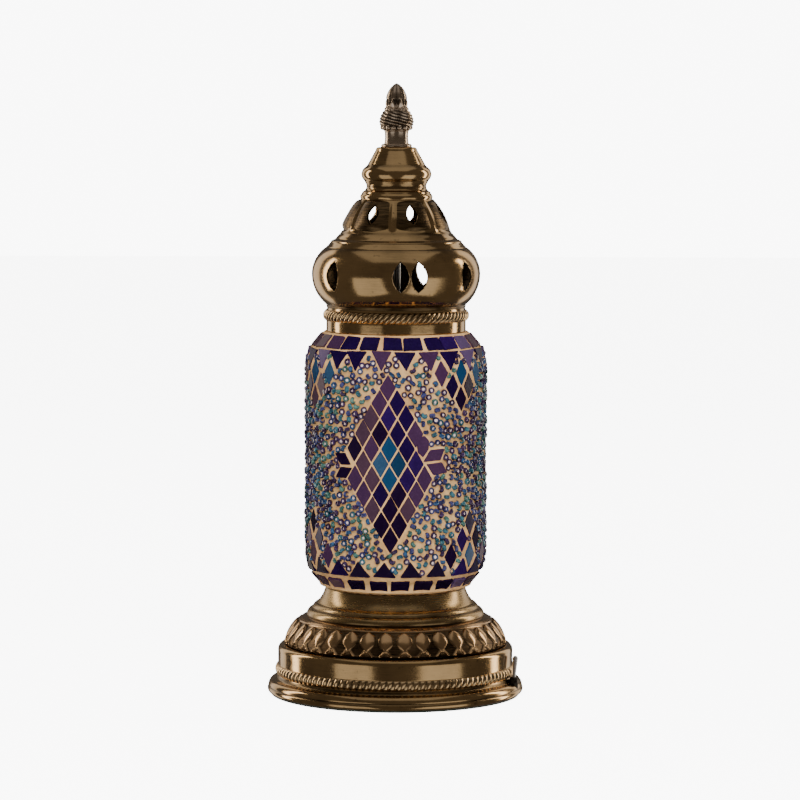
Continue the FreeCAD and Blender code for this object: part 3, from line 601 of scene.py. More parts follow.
def make_lower_dome():
    base, high = heights("lower_dome")
    waist = 51.0
    line = trace([
        (COLLAR - 1.6, 0), (COLLAR - 0.2, 0), (COLLAR, 1.8), via(waist - 3.4, 8.0), (waist, 19.8),
        via(waist - 1.6, 27.8), (42.8, high), (38.0, high), (38.0, high - WALL),
        (41.8, high - WALL),
        via(waist - 2.7, 27.0), (waist - WALL, 19.8), via(waist - 4.4, 8.7), (COLLAR - WALL, 2.2)],
        0.8)

    def panels(angle, r, z):
        lobe = np.cos((angle - math.radians(33.0)) * 3.5)
        belly = smoothstep(2.0, 14.0, z) * smoothstep(35.0, 24.0, z)
        rise = -0.3 * belly * np.abs(lobe) ** 8
        # painted shade: the mark drops low down where the dome meets the collar and at the top under
        # the upper dome, and the inner face is painted fully dark
        mark = 0.62 - 0.5 * (1 - smoothstep(1.0, 6.0, z)) - 0.2 * smoothstep(33.5, 36.0, z)
        return rise, np.where(within(line, r, z), 0.0, mark)

    item = lathe("lower_dome_shell", line, base, 360, BRASS, panels)
    lens = mirrored([(0, -9.5), (0.9, -8.5), (2.2, -7.4), (2.9, -6.7), (3.1, -5.9), (4.1, -4.6),
                     (4.6, -3.0),
                     (5.1, -1.0), (5.2, 0.8), (4.8, 2.6), (4.2, 4.3), (3.0, 5.9), (3.1, 6.6),
                     (2.0, 7.6),
                     (1.1, 8.3), (0, 9.5)])
    burrs = cut_holes(item, lens, base + LENS_HEIGHT, LENS_AZIMUTHS[1:], 30.0, 60.0)
    burrs += cut_holes(item, lens, base + LENS_HEIGHT, LENS_AZIMUTHS[:1], 30.0, 60.0)
    stand_for(item, "dome", "aged_brass", "lower_dome")

    def surface(height):
        return profile_radius(line, height - base)
    make_burrs("lower_dome_burrs", burrs, surface)


def within(line, r, z):
    """True on the inner face of a shell."""
    reach = np.array([profile_radius(line, height) for height in z[:, 0]])[:, None]
    return r < reach - 0.6


def profile_radius(line, height):
    """Largest radius of an outline at a height."""
    best = 0.0
    for (r1, z1), (r2, z2) in zip(line, np.roll(line, -1, 0)):
        if min(z1, z2) <= height <= max(z1, z2):
            t = 0.0 if z1 == z2 else (height - z1) / (z2 - z1)
            best = max(best, r1 + (r2 - r1) * t)
    return best


def make_burrs(name, burrs, surface):
    """Thin raised lips that a punch leaves round each opening."""
    parts = []
    for ring, out in burrs:
        path = []
        for index, point in enumerate(ring):
            for step in (0.0, 0.5):
                here = point.lerp(ring[(index + 1) % len(ring)], step)
                side = here - Vector((0, 0, here.z))
                across = side.length
                reach = math.sqrt(max(surface(here.z) ** 2 - across ** 2, 0.0))
                path.append(here + out * (reach - 0.05))
        parts.append(tube_rings(path, 0.28, 6))
    item = merge(name, parts, ROPE_BRASS)
    # painted highlight on rubbed brass: the lips are marked 0.9 so they take the bright colour
    mark_relief(item, np.full(len(item.data.vertices), 0.9, np.float32))
    stand_for(item, "dome", "aged_brass")


def make_upper_dome():
    base, high = heights("upper_dome")
    bell = 32.6
    line = trace([
        (38.2, 0), (42.6, 0), (41.0, 1.6), (39.6, 3.2), (39.4, 4.0), (36.8, 5.2), (35.4, 7.0),
        (33.6, 8.8),
        (bell, 10.6), via(bell - 3.2, 19.2), (22.4, 29.0), (21.5, 29.2), via(21.9, 30.8),
        (20.9, 32.3),
        (20.4, high), (12.0, high), (12.0, high - 1.2), (19.4, high - 1.2), (20.4, 29.9),
        via(bell - 4.4, 19.0), (bell - WALL, 11.0), (bell - WALL, 9.0), (34.4, 6.4), (35.8, 4.2),
        (38.2, 3.0)], 0.6)
    eyes = np.radians(EYE_AZIMUTHS)
    creases = (eyes + np.roll(eyes, 1) - np.array([math.tau] + [0.0] * (len(eyes) - 1))) / 2

    def facets(angle, r, z):
        turned = (angle - creases[0]) % math.tau + creases[0]
        panel = np.clip(np.searchsorted(creases, turned, side="right") - 1, 0, len(eyes) - 1)
        ends = np.append(creases, creases[0] + math.tau)
        half = (ends[panel + 1] - ends[panel]) / 2
        local = turned - ends[panel] - half
        flat = np.cos(half) / np.cos(local)
        crease = np.exp(-((np.abs(local) - half) / 0.035) ** 2)
        belly = smoothstep(9.5, 13.5, z) * smoothstep(30.0, 26.5, z)
        rise = belly * r * 0.55 * (flat - 1.0) + belly * crease * 0.08
        # painted shade: a dark band in the crease at the foot of the bell, and the inner face painted
        # fully dark
        mark = 0.60 + 0.10 * crease * belly - 0.25 * np.exp(-((z - 9.2) / 1.2) ** 2)
        return rise, np.where(within(line, r, z), 0.0, mark)

    item = lathe("upper_dome_shell", line, base, 384, BRASS, facets)
    eye = mirrored([(0, -6.2), (1.2, -5.0), (2.4, -3.7), (3.3, -2.1), (3.9, 0.2), (3.4, 1.8),
                    (2.5, 3.6),
                    (1.3, 4.9), (0, 6.2)])
    burrs = cut_holes(item, eye, base + EYE_HEIGHT, EYE_AZIMUTHS, 14.0, 45.0)
    stand_for(item, "dome", "aged_brass", "upper_dome")

    def surface(height):
        radius = profile_radius(line, height - base)
        return radius * 0.946 + 0.05
    make_burrs("upper_dome_burrs", burrs, surface)


def make_cone_cap():
    base, high = heights("cone_cap")
    cap = 21.1
    line = trace([
        (12.0, 0), (20.2, 0), via(18.3, 1.8), (18.1, 4.0), (19.4, 6.6), via(cap, 11.0),
        (19.2, 14.4),
        (17.6, 15.8), (12.6, 24.8), via(12.0, 26.2), (10.6, high), (3.3, high), (3.3, high - 1.6),
        (10.4, high - 1.6), (16.2, 15.2), (17.8, 13.6), via(19.7, 11.0), (18.2, 7.2), (16.8, 4.4),
        (16.8, 1.4), (12.0, 1.4)], 0.5)

    def hollows(angle, r, z):
        # painted shade: the mark drops in the crease above the bulge and in the waist under it
        dark = np.exp(-((z - 15.6) / 0.8) ** 2) + np.exp(-((z - 3.0) / 1.6) ** 2)
        return 0.0, 0.64 - 0.3 * dark
    stand_for(lathe("cone_cap_shell", line, base, 256, BRASS, hollows), "dome", "aged_brass",
              "cone_cap")


def make_finial():
    """A bud in sepals over a basket of draped ribs with a bead row, on a smooth post."""
    base, tip = heights("finial")
    line = trace([
        (0.0, 12.2), (3.0, 12.2), (3.0, 0), (9.2, 0), via(9.3, 1.0), (7.4, 1.9), via(7.05, 5.4),
        (7.25, 9.4),
        via(9.2, 11.8), (10.2, 15.4), via(9.0, 19.4), (5.7, 23.4), via(6.5, 25.6), (6.6, 27.2),
        via(5.3, 33.0), (1.5, 37.7), (0.0, tip)], 0.28, 0.2, closed=False)

    def carving(angle, r, z):
        basket = smoothstep(12.4, 13.6, z) * smoothstep(23.0, 21.4, z)
        ribs = 0.5 + 0.5 * np.cos((z + 15.2 * angle / math.tau) * math.tau / 1.9)
        rise = basket * (0.8 * ribs - 0.4)
        beads = smoothstep(9.9, 10.6, z) * smoothstep(13.0, 12.2, z)
        pearl = np.clip(1 - ((angle * 16 / math.tau) % 1.0 * 2 - 1) ** 2 - ((z - 11.5) / 1.3) ** 2,
                        0, 1) ** 0.5
        rise = rise + beads * (pearl * 1.25 - 0.35)
        collar = smoothstep(21.8, 22.6, z) * smoothstep(29.6, 28.2, z)
        leaf_phase = (angle * 8 / math.tau) % 1.0 * 2 - 1
        reach = (z - 22.4) / 7.4
        leaf = smoothstep(0.0, 0.35, (1 - np.abs(leaf_phase)) - 0.95 * np.clip(reach, 0, 1) ** 1.4)
        other = (angle * 8 / math.tau + 0.5) % 1.0 * 2 - 1
        low_leaf = smoothstep(0.0, 0.3, (1 - np.abs(other)) - 1.3 * np.clip(reach + 0.05, 0, 1))
        rise = rise + collar * (0.85 * leaf + 0.6 * low_leaf - 0.45)
        bud = smoothstep(28.4, 30.0, z)
        flute = np.abs(np.sin(angle * 5)) ** 0.6
        rise = rise + bud * (flute - 0.8) * 0.2 * np.clip(r / 4.0, 0, 1)
        rise = np.where(r > 4.2, rise, rise * np.clip((z - 13.0) / 2.0, 0, 1))
        mark = 0.62 + 0 * rise
        mark = np.where(basket > 0.3, 0.08 + 0.8 * ribs, mark)
        mark = np.where(beads > 0.4, 0.08 + 0.85 * pearl, mark)
        mark = np.where(collar > 0.4, 0.06 + 0.85 * np.maximum(leaf, low_leaf * 0.8), mark)
        mark = np.where(bud > 0.5, 0.12 + 0.45 * flute, mark)
        return rise, mark

    item = lathe("finial_casting", line, base, 288, FINIAL_BRASS, carving, closed=False)
    stand_for(item, "dome", "aged_brass", "finial")


# ------------------------------------------------------------------ base
LEAVES = 36


def make_neck():
    base, high = heights("base_neck")
    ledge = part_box("seat_plate")[0].z / MM - base
    neck, foot = 42.5, 53.8
    line = trace([
        (46.2, 0), (foot, 0), via(53.5, 2.5), (51.4, 4.4), (50.8, 4.8), (50.4, 5.2), via(49.6, 6.6),
        (47.6, 7.8), via(44.5, 12.0), (neck, high), (41.2, high), (41.2, ledge), (37.5, ledge),
        (37.5, ledge - 1.6), (43.2, ledge - 1.6), (46.2, 6.8), (49.4, 3.8), (49.4, 1.4),
        (46.2, 1.4)], 0.5)

    def grooves(angle, r, z):
        # painted shade: the mark drops in the groove, along the bottom edge on the bell and round the
        # top where the glass stands
        dark = np.exp(-((z - 4.8) / 0.5) ** 2) + np.exp(-((z - 0.2) / 0.7) ** 2)
        dark = dark + 0.6 * np.exp(-((z - high) / 0.8) ** 2)
        return 0.0, 0.64 - 0.45 * np.clip(dark, 0, 1)
    stand_for(lathe("neck_shell", line, base, 300, NECK_BRASS, grooves), "root", "aged_brass",
              "base_neck")


def leaf_relief(high):
    """Embossed buds: a full head, a narrow waist and two petals that flare out to the lower edge."""
    levels = [0.0, 0.20, 0.30, 0.42, 0.55, 0.65, 0.78, 0.88, 0.95, 1.0]
    widths = [0.02, 0.05, 0.11, 0.27, 0.41, 0.44, 0.42, 0.35, 0.23, 0.02]

    def relief(angle, r, z):
        v = np.clip((z - 0.9) / (high - 3.6), 0.0, 1.0)
        ring = smoothstep(high - 3.0, high - 2.2, z)
        u = np.abs((angle * LEAVES / math.tau) % 1.0 - 0.5)
        width = np.interp(v, levels, widths)
        bud = np.clip(1 - (u / width) ** 2, 0, 1) ** 0.5 * smoothstep(0.1, 0.25, v)
        spine = 0.05 + 0.33 * np.clip(1 - v / 0.30, 0, 1) ** 1.2
        petal = np.exp(-((u - spine) / 0.075) ** 2) * smoothstep(0.34, 0.26, v)
        link = 0.7 * np.exp(-((v - 0.03) / 0.025) ** 2)
        fade = smoothstep(0.0, 0.03, v) * smoothstep(1.0, 0.985, v)
        shape = np.maximum(np.maximum(bud, petal), link) * fade
        mark = 0.12 + 0.70 * bud * fade + 0.97 * np.maximum(petal, link) * fade
        rise = 1.25 * shape - 0.75
        return rise * (1 - ring), np.clip(mark * (1 - ring) + 0.62 * ring, 0.0, 1.0)
    return relief


def make_bell():
    base, high = heights("base_bell")
    bell = 67.4
    face = trace([(bell, 0), via(64.9, 8.0), (56.6, 16.7), (53.6, high)], 0.34, closed=False)
    inner = trace([(46.0, high), (46.0, high - WALL), (53.0, high - WALL), (55.6, 15.6),
                   via(63.7, 7.5),
                   (66.0, WALL), (60.0, WALL), (60.0, 0)], 2.4, 0.3, closed=False)
    line = np.vstack([face, inner])
    leaves = leaf_relief(high)

    def relief(angle, r, z):
        rise, mark = leaves(angle, r, z)
        outside = (np.arange(len(line)) < len(face))[:, None]
        return np.where(outside, rise, 0.0), np.where(outside, mark, 0.5)

    item = lathe("bell_shell", line, base, LEAVES * 24, LEAF_BRASS, relief)
    stand_for(item, "root", "aged_brass", "base_bell")


FOOT_STRANDS = 112


def make_foot():
    base, top = heights("base_foot")
    rim, band = 77.8, 71.4
    line = trace([
        (66.4, 0), (rim - 1.2, 0), via(rim, 1.6), (rim - 0.3, 3.3), (rim - 0.9, 3.8),
        (rim - 0.5, 4.3),
        via(rim - 1.4, 6.6), (75.0, 7.8), (73.8, 7.9), via(72.0, 8.7), (band, 10.6),
        (band - 0.3, 10.8),
        (band - 0.3, 16.8), (band, 17.0), (band, 25.0), via(70.4, 28.1), (67.6, top), (60.0, top),
        (60.0, top - 1.4), (67.4, top - 1.4), (band - 1.3, 24.6), (band - 1.3, 10.0), (72.4, 7.2),
        (74.8, 6.8), (rim - 1.2, 4.4), (rim - 1.2, 1.4), (66.4, 1.4)], 0.6)

    def hollows(angle, r, z):
        # painted shade: the mark drops in the groove of the rim and in the cove under the rope
        dark = np.exp(-((z - 3.8) / 0.45) ** 2) + np.exp(-((z - 9.4) / 1.0) ** 2) * (r > 71.2)
        return 0.0, 0.60 - 0.45 * np.clip(dark, 0, 1)
    stand_for(lathe("foot_shell", line, base, 320, BRASS, hollows), "root", "aged_brass",
              "base_foot")
    rope_ring("foot_rope", "root", base, [
        (band - 0.6, 10.6), (band, 10.6), via(72.9, 13.8), (band, 17.0), (band - 0.6, 17.0)],
        FOOT_STRANDS, rope(FOOT_STRANDS, band - 0.2, 10.6, 17.0, 0.95, 3.4))


# ------------------------------------------------------------------ mosaic
GLASS_FOOT = 63.2
GLASS_WALL = 52.1
GROUT_THICK = 2.2
GROUT = 54.3
FIELD = 53.3
TILE_FACE = 54.65


def grout_profile(offset):
    """Outer outline of the glass, or of a skin laid offset outside it."""
    r = GLASS_WALL + offset
    return [(r - 11.5 - offset * 0.25, 3.6 - offset * 0.66),
            (r - 3.7 - offset * 0.25, 12.4 - offset * 0.66),
            via(r - 1.1, 17.4 - offset * 0.3), (r, 22.8), (r, 134.8),
            via(r - 0.8, 142.6 + offset * 0.2),
            (r - 2.15 - offset * 0.23, 146.1 + offset * 0.64), (r - 11.27 + offset * 0.295, 157.2)]


WALL_LINE = trace(grout_profile(GROUT_THICK), 0.8, closed=False)


def wall_radius(height):
    """Radius of the grouted wall at a height above the table."""
    return float(np.interp(height - GLASS_FOOT, WALL_LINE[:, 1], WALL_LINE[:, 0]))


INDIGO, NIGHT, MAUVE, PLUM, VIOLET, BLUE, STEEL, TEAL, LILAC_AND_GLINT = range(9)
TILE_GLASSES = [
    tile_glass("glass_indigo", (0.0062, 0.0006, 0.025), (0.0040, 0.0006, 0.015)),
    tile_glass("glass_night", (0.0042, 0.0008, 0.009), (0.0056, 0.0009, 0.013)),
    tile_glass("glass_mauve", (0.034, 0.0130, 0.037), (0.027, 0.0100, 0.033)),
    tile_glass("glass_plum", (0.033, 0.0155, 0.027), (0.040, 0.019, 0.032)),
    tile_glass("glass_violet", (0.0130, 0.0020, 0.049), (0.009, 0.0014, 0.029)),
    tile_glass("glass_blue", (0.0030, 0.0235, 0.062), (0.0055, 0.030, 0.072)),
    tile_glass("glass_steel", (0.0180, 0.046, 0.086), (0.0130, 0.037, 0.076)),
    tile_glass("glass_teal", (0.0025, 0.0135, 0.036), (0.004, 0.019, 0.046)),
    tile_glass("glass_lilac_and_glint", (0.054, 0.030, 0.082), (0.042, 0.022, 0.065)),
]
rng = np.random.default_rng(41)


def frame_at(azimuth, lean=0.0):
    """Right, up and outward directions at an azimuth, on a face leaning back by lean."""
    flat, right = facing(azimuth)
    tip = math.radians(lean)
    rise = Vector((0, 0, 1))
    up = rise * math.cos(tip) - flat * math.sin(tip)
    return flat, right, up, flat * math.cos(tip) + rise * math.sin(tip)


def middle_of(points):
    return sum(x for x, _ in points) / len(points), sum(y for _, y in points) / len(points)


def all_round(seen, step, colours, count):
    """The chips that the photo shows, azimuth and colour, then random colours for the rest."""
    last = max(seen)
    return list(seen.items()) + [(last + step * i, int(rng.choice(colours)))
                                 for i in range(1, count + 1)]


class TileSet:
    """Glass chips that are laid together: one object, a material for each colour of sheet."""

    def __init__(self, name, node, slot_name):
        self.name, self.node, self.slot_name = name, node, slot_name
        self.vertices, self.faces, self.colours = [], [], []

    def add(self, corners, azimuth, radius, height, colour, lean=0.0, ragged=0.22):
        flat, right, up, normal = frame_at(azimuth, lean)
        tilt_x, tilt_y = rng.normal(0, 0.012, 2)
        middle = flat * radius + Vector((0, 0, height))
        corners = [(x + rng.normal(0, ragged), y + rng.normal(0, ragged)) for x, y in corners]
        outline = []
        for i, (x, y) in enumerate(corners):
            for other in (corners[i - 1], corners[(i + 1) % len(corners)]):
                reach = min(0.28, 0.45 / max(math.dist((x, y), other), 0.1))
                outline.append((x + (other[0] - x) * reach, y + (other[1] - y) * reach))
        cx, cy = middle_of(outline)
        count = len(outline)
        shift = len(self.vertices)
        for inset, depth in ((0.32, 0.0), (0.06, -0.14), (0.0, -0.42), (0.0, -1.55)):
            for x, y in outline:
                away = max(math.hypot(x - cx, y - cy), 1e-6)
                keep = 1 - inset / away
                px, py = cx + (x - cx) * keep, cy + (y - cy) * keep
                lift = depth + tilt_x * (px - cx) + tilt_y * (py - cy)
                self.vertices.append(tuple((middle + right * px + up * py + normal * lift) * MM))
        self.faces.append(tuple(shift + i for i in range(count)))
        for level in range(3):
            low = shift + level * count
            for i in range(count):
                j = (i + 1) % count
                self.faces.append((low + i, low + count + i, low + count + j, low + j))
        self.faces.append(tuple(shift + 4 * count - 1 - i for i in range(count)))
        self.colours += [colour] * (count * 3 + 2)
        if abs(lean) < 20:
            FOOTPRINTS.append([(math.radians(azimuth) * GROUT + x, height + y) for x, y in corners])

    def build(self):
        item = new_object(self.name, self.vertices, self.faces, TILE_GLASSES, self.colours)
        face_outward(item)
        stand_for(item, "root", self.slot_name, self.node)


FOOTPRINTS = []
PITCH, ROW = 10.66, 9.06
MIDDLE = 144.9
PANELS = [-4.0, 116.0, 236.0]
UPPER_CLUSTERS = [45.6, 171.8, 297.5]
LOWER_CLUSTERS = [54.6, 174.8, 295.4]
DIAMOND_COLOURS = [
    [MAUVE], [MAUVE, INDIGO], [PLUM, VIOLET, INDIGO], [PLUM, NIGHT, INDIGO, MAUVE],
    [NIGHT, MAUVE, BLUE, INDIGO, MAUVE], [None, PLUM, STEEL, TEAL, VIOLET, None],
    [MAUVE, PLUM, BLUE, VIOLET, MAUVE], [MAUVE, INDIGO, NIGHT, MAUVE], [PLUM, NIGHT, PLUM],
    [NIGHT, NIGHT], [NIGHT]]
LEFT_WING = ([(-9.0, 5.6), (-1.2, 5.9), (2.5, -0.9), (-4.7, -1.3)],
             [(-5.0, -2.3), (3.6, -2.6), (-0.4, -9.0), (-8.6, -9.0)])
RIGHT_WING = ([(-1.6, 8.2), (8.2, 8.8), (5.2, 2.0), (-6.0, 1.2)],
              [(-4.0, 0.0), (6.0, 0.9), (9.9, -5.8), (0.2, -6.8)])


def rhomb(shrink=0.915):
    wide, tall = PITCH / 2 * shrink, ROW * shrink
    return [(0, -tall), (wide, 0), (0, tall), (-wide, 0)]


def arc(length):
    """Degrees round the wall that a length of arc spans."""
    return math.degrees(length / TILE_FACE)


def lay_off_centre(tiles, corners, azimuth, height, colour):
    """A chip whose corners are given about another point: it sits flat at its own middle."""
    cx, cy = middle_of(corners)
    local = [(x - cx, y - cy) for x, y in corners]
    tiles.add(local, azimuth + arc(cx), TILE_FACE, height + cy, colour, 0.0, 0.12)


def make_diamonds():
    tiles = TileSet("diamond_chips", "diamond_tiles", "indigo_glass")
    for number, panel in enumerate(PANELS):
        for row, colours in enumerate(DIAMOND_COLOURS):
            height = MIDDLE + (5 - row) * ROW
            centre = panel - 0.85 + 0.17 * row
            for spot, colour in enumerate(colours):
                azimuth = centre + arc((spot - (len(colours) - 1) / 2) * PITCH)
                if number and colour is not None and rng.random() < 0.4:
                    colour = int(rng.choice([MAUVE, PLUM, INDIGO, NIGHT, VIOLET, BLUE, TEAL]))
                if colour is None:
                    wing = LEFT_WING if spot == 0 else RIGHT_WING
                    shades = (NIGHT, NIGHT) if spot == 0 else (MAUVE, MAUVE)
                    for corners, shade in zip(wing, shades):
                        lay_off_centre(tiles, corners, azimuth, height, shade)
                elif row == 4 and spot == 4:
                    odd = [(0.3, -7.4), (3.6, -2.6), (3.7, 2.6), (1.2, 5.6), (-1.9, 4.6),
                           (-3.7, 0.2), (-3.3, -4.4)]
                    tiles.add(odd, azimuth - 0.9, TILE_FACE, height + 2.3, colour, 0.0, 0.08)
                else:
                    tiles.add(rhomb(), azimuth, TILE_FACE, height, colour, 0.0, 0.15)
    tiles.build()


UPPER_COLOURS = [VIOLET, LILAC_AND_GLINT, INDIGO, LILAC_AND_GLINT, INDIGO, INDIGO, MAUVE, INDIGO]


def make_triangles():
    upper = TileSet("upper_triangle_chips", "triangle_tiles_upper", "violet_glass")
    # painted reflection: the chips at -54.5 and 54.0 get the palest glass, lilac, where the tiles show
    # a bright reflection
    seen = {-54.5: LILAC_AND_GLINT, -40.5: INDIGO, -26.6: INDIGO, -9.6: MAUVE, 5.8: INDIGO, 21.9: MAUVE,
            37.2: INDIGO, 54.0: LILAC_AND_GLINT}
    spots = all_round(seen, 15.7, UPPER_COLOURS, 15)
    for azimuth, colour in spots:
        half = 6.6 + rng.uniform(-0.4, 0.4)
        upper.add([(-half, 6.1), (rng.uniform(-0.9, 0.9), -5.6), (half, 6.1)], azimuth, 54.15,
                  205.6, colour, 12.9)
    upper.build()
    lower = TileSet("lower_triangle_chips", "triangle_tiles_lower", "violet_glass")
    seen = {-56.0: NIGHT, -39.6: INDIGO, -23.6: NIGHT, -7.2: NIGHT, 10.0: NIGHT, 27.6: NIGHT,
            46.9: VIOLET, 62.5: INDIGO}
    spots = all_round(seen, 17.27, [NIGHT, NIGHT, INDIGO], 13)
    for azimuth, colour in spots:
        half = 6.8 + rng.uniform(-0.4, 0.4)
        lower.add([(-half, -5.4), (half, -5.4), (rng.uniform(-1.2, 1.2), 4.8)], azimuth, 54.3, 82.2,
                  colour, -12.9)
    lower.build()


def make_shoulders():
    upper = TileSet("upper_shoulder_chips", "shoulder_tiles_upper", "indigo_glass")
    seen = {-64.0: PLUM, -48.4: MAUVE, -33.2: INDIGO, -18.6: INDIGO, -2.4: INDIGO, 12.2: INDIGO,
            27.2: INDIGO, 41.4: VIOLET, 56.0: LILAC_AND_GLINT, 72.0: PLUM}
    spots = all_round(seen, 16.0, [INDIGO, INDIGO, MAUVE, PLUM], 13)
    for azimuth, colour in spots:
        top, low = 5.1 + rng.uniform(-0.25, 0.35), 5.6 + rng.uniform(-0.3, 0.3)
        skew = rng.uniform(-0.9, 0.9)
        quad = [(-low + skew, -4.8), (low + skew, -4.6), (top, 4.6), (-top, 4.6)]
        upper.add(quad, azimuth, 48.15, 216.1, colour, 39.7, 0.18)
    upper.build()
    lower = TileSet("lower_shoulder_chips", "shoulder_tiles_lower", "indigo_glass")
    seen = {-63.0: PLUM, -45.8: MAUVE, -28.4: NIGHT, -12.2: NIGHT, 3.2: NIGHT, 19.8: NIGHT,
            36.0: NIGHT,
            50.6: LILAC_AND_GLINT, 66.0: PLUM}
    spots = all_round(seen, 16.2, [NIGHT, NIGHT, INDIGO, PLUM], 13)
    for azimuth, colour in spots:
        top, low = 5.4 + rng.uniform(-0.3, 0.3), 4.9 + rng.uniform(-0.3, 0.3)
        skew = rng.uniform(-0.8, 0.8)
        quad = [(-low, -4.4), (low, -4.4), (top + skew, 4.4), (-top + skew, 4.4)]
        lower.add(quad, azimuth, 48.3, 70.4, colour, -41.6, 0.18)
    lower.build()


def make_clusters():
    """Rhombs three, two and one to a row: the first row stands between the triangles."""
    tiles = TileSet("cluster_chips", "cluster_tiles", "violet_glass")
    upper = [([MAUVE, BLUE, STEEL], 198.4), ([INDIGO, NIGHT], 190.2), ([NIGHT], 182.6)]
    lower = [([NIGHT, BLUE, MAUVE], 88.4), ([VIOLET, NIGHT], 98.2), ([INDIGO], 108.0)]
    for centres, rows, turn, first_step in ((UPPER_CLUSTERS, upper, 1, 15.8),
                                            (LOWER_CLUSTERS, lower, -1, 17.1)):
        for number, centre in enumerate(centres):
            for colours, height in rows:
                first = len(colours) == 3
                lean = 4.0 * turn if first else 0.0
                step = first_step if first else 15.0
                for spot, colour in enumerate(colours):
                    if number:
                        colour = int(rng.choice([colour, NIGHT, MAUVE, INDIGO, PLUM]))
                    azimuth = centre + (spot - (len(colours) - 1) / 2) * step
                    tiles.add(rhomb(0.87), azimuth, TILE_FACE + (0.15 if first else 0.0), height,
                              colour, lean, 0.2)
    tiles.build()


def footprint_distance(points):
    """Distance in mm, on the unrolled wall, to the nearest chip; negative inside one."""
    best = np.full(len(points), 1e9)
    turn = math.tau * GROUT
    for outline in FOOTPRINTS:
        shape = np.array(outline)
        centre = shape.mean(0)
        delta = points - centre
        delta[:, 0] = (delta[:, 0] + turn / 2) % turn - turn / 2
        near = np.abs(delta).max(1) < 22.0
        if not near.any():
            continue
        p = delta[near]
        corners = shape - centre
        inside = np.zeros(len(p), bool)
        distance = np.full(len(p), 1e9)
        for a, b in zip(corners, np.roll(corners, -1, 0)):
            edge = b - a
            t = np.clip(((p - a) @ edge) / (edge @ edge), 0, 1)
            distance = np.minimum(distance, np.hypot(*(p - a - t[:, None] * edge).T))
            crosses = (a[1] > p[:, 1]) != (b[1] > p[:, 1])
            slope = (p[:, 1] - a[1]) / (b[1] - a[1] if b[1] != a[1] else 1e-9)
            inside ^= crosses & (p[:, 0] < a[0] + edge[0] * slope)
        best[near] = np.minimum(best[near], np.where(inside, -distance, distance))
    return best


GROUT_SEGMENTS = 400


def make_grout():
    inner = trace(list(reversed([(46.0, 3.6), (49.5, 12.6), (52.3, 22.8), (52.3, 134.8),
                                 (50.0, 146.1),
                                 (41.2, 157.2)])), 9.0, 0.3, closed=False)
    line = np.vstack([WALL_LINE, inner])
    outside = len(WALL_LINE)

    def relief(angle, r, z):
        shape = np.broadcast(angle, z).shape
        wide = np.broadcast_to(angle, shape)
        tall = np.broadcast_to(z, shape)
        points = np.stack([wide.ravel() * GROUT, tall.ravel() + GLASS_FOOT], 1)
        away = footprint_distance(points).reshape(shape)
        wall = smoothstep(16.0, 19.0, tall) * smoothstep(147.0, 144.0, tall)
        sunk = -(GROUT - FIELD) * smoothstep(0.6, 2.4, away) * wall
        lumps = 0.10 * np.sin(wide * 23 + tall * 0.31) * np.sin(tall * 0.57 + wide * 7)
        rise = sunk + lumps + 0.07 * np.sin(wide * 61 - tall * 0.9)
        mask = (np.arange(shape[0]) < outside)[:, None]
        return np.where(mask, rise, 0.0), 0.5 * np.ones(shape)

    item = lathe("grout_skin", line, GLASS_FOOT, GROUT_SEGMENTS, grout_paste("grout_cement"),
                 relief)
    stand_for(item, "root", "grout", "mosaic_grout")


BEAD_GLASSES = {
    "plum": bead_glass("bead_plum", (0.011, 0.003, 0.018), (0.038, 0.018, 0.062)),
    "indigo": bead_glass("bead_indigo", (0.007, 0.006, 0.036), (0.036, 0.040, 0.120)),
    "navy": bead_glass("bead_navy", (0.004, 0.012, 0.040), (0.024, 0.070, 0.150)),
    "teal": bead_glass("bead_teal", (0.005, 0.032, 0.048), (0.038, 0.120, 0.145)),
    "green": bead_glass("bead_green", (0.008, 0.042, 0.038), (0.075, 0.165, 0.135)),
}


def seed_bead(centre, axis, outer, hole, half, sides=12):
    """A seed bead: a short glass tube with rounded ends."""
    wall = outer - hole
    rim = [(hole, -0.5 * half), (hole + 0.3 * wall, -half), (hole + 0.7 * wall, -0.92 * half),
           (outer, -0.35 * half),
           (outer, 0.35 * half), (hole + 0.7 * wall, 0.92 * half), (hole + 0.3 * wall, half),
           (hole, 0.5 * half)]
    across, up = beside(axis)
    vertices, faces = [], []
    count = len(rim)
    for i in range(sides):
        a = math.tau * i / sides
        ray = across * math.cos(a) + up * math.sin(a)
        vertices += [tuple((centre + ray * r + axis * z) * MM) for r, z in rim]
    for i in range(sides):
        j = (i + 1) % sides
        for k in range(count):
            m = (k + 1) % count
            faces.append((i * count + k, j * count + k, j * count + m, i * count + m))
    return vertices, faces


BEADS_LOW, BEADS_HIGH = 79.6, 207.6
BEAD_THROWS = 150000
CELL = 4


def bead_spots():
    """Places for beads on the unrolled wall, thrown at random and kept where they fit."""
    turn = math.tau * GROUT
    throws = rng.uniform((0.0, BEADS_LOW), (turn, BEADS_HIGH), (BEAD_THROWS, 2))
    away = footprint_distance(throws)
    throws = throws[away > 1.6]
    spread = np.linspace(4.1, 3.25, len(throws))
    kept, cells = [], {}
    for (x, z), need in zip(throws, spread):
        cell = (int(x // CELL), int(z // CELL))
        clear_of_all = True
        for dx in (-1, 0, 1):
            for dz in (-1, 0, 1):
                for ox, oz in cells.get(((cell[0] + dx) % int(turn // CELL + 1), cell[1] + dz), ()):
                    gap = abs(ox - x)
                    if math.hypot(min(gap, turn - gap), oz - z) < need:
                        clear_of_all = False
        if clear_of_all:
            cells.setdefault(cell, []).append((x, z))
            kept.append((x, z))
    return kept


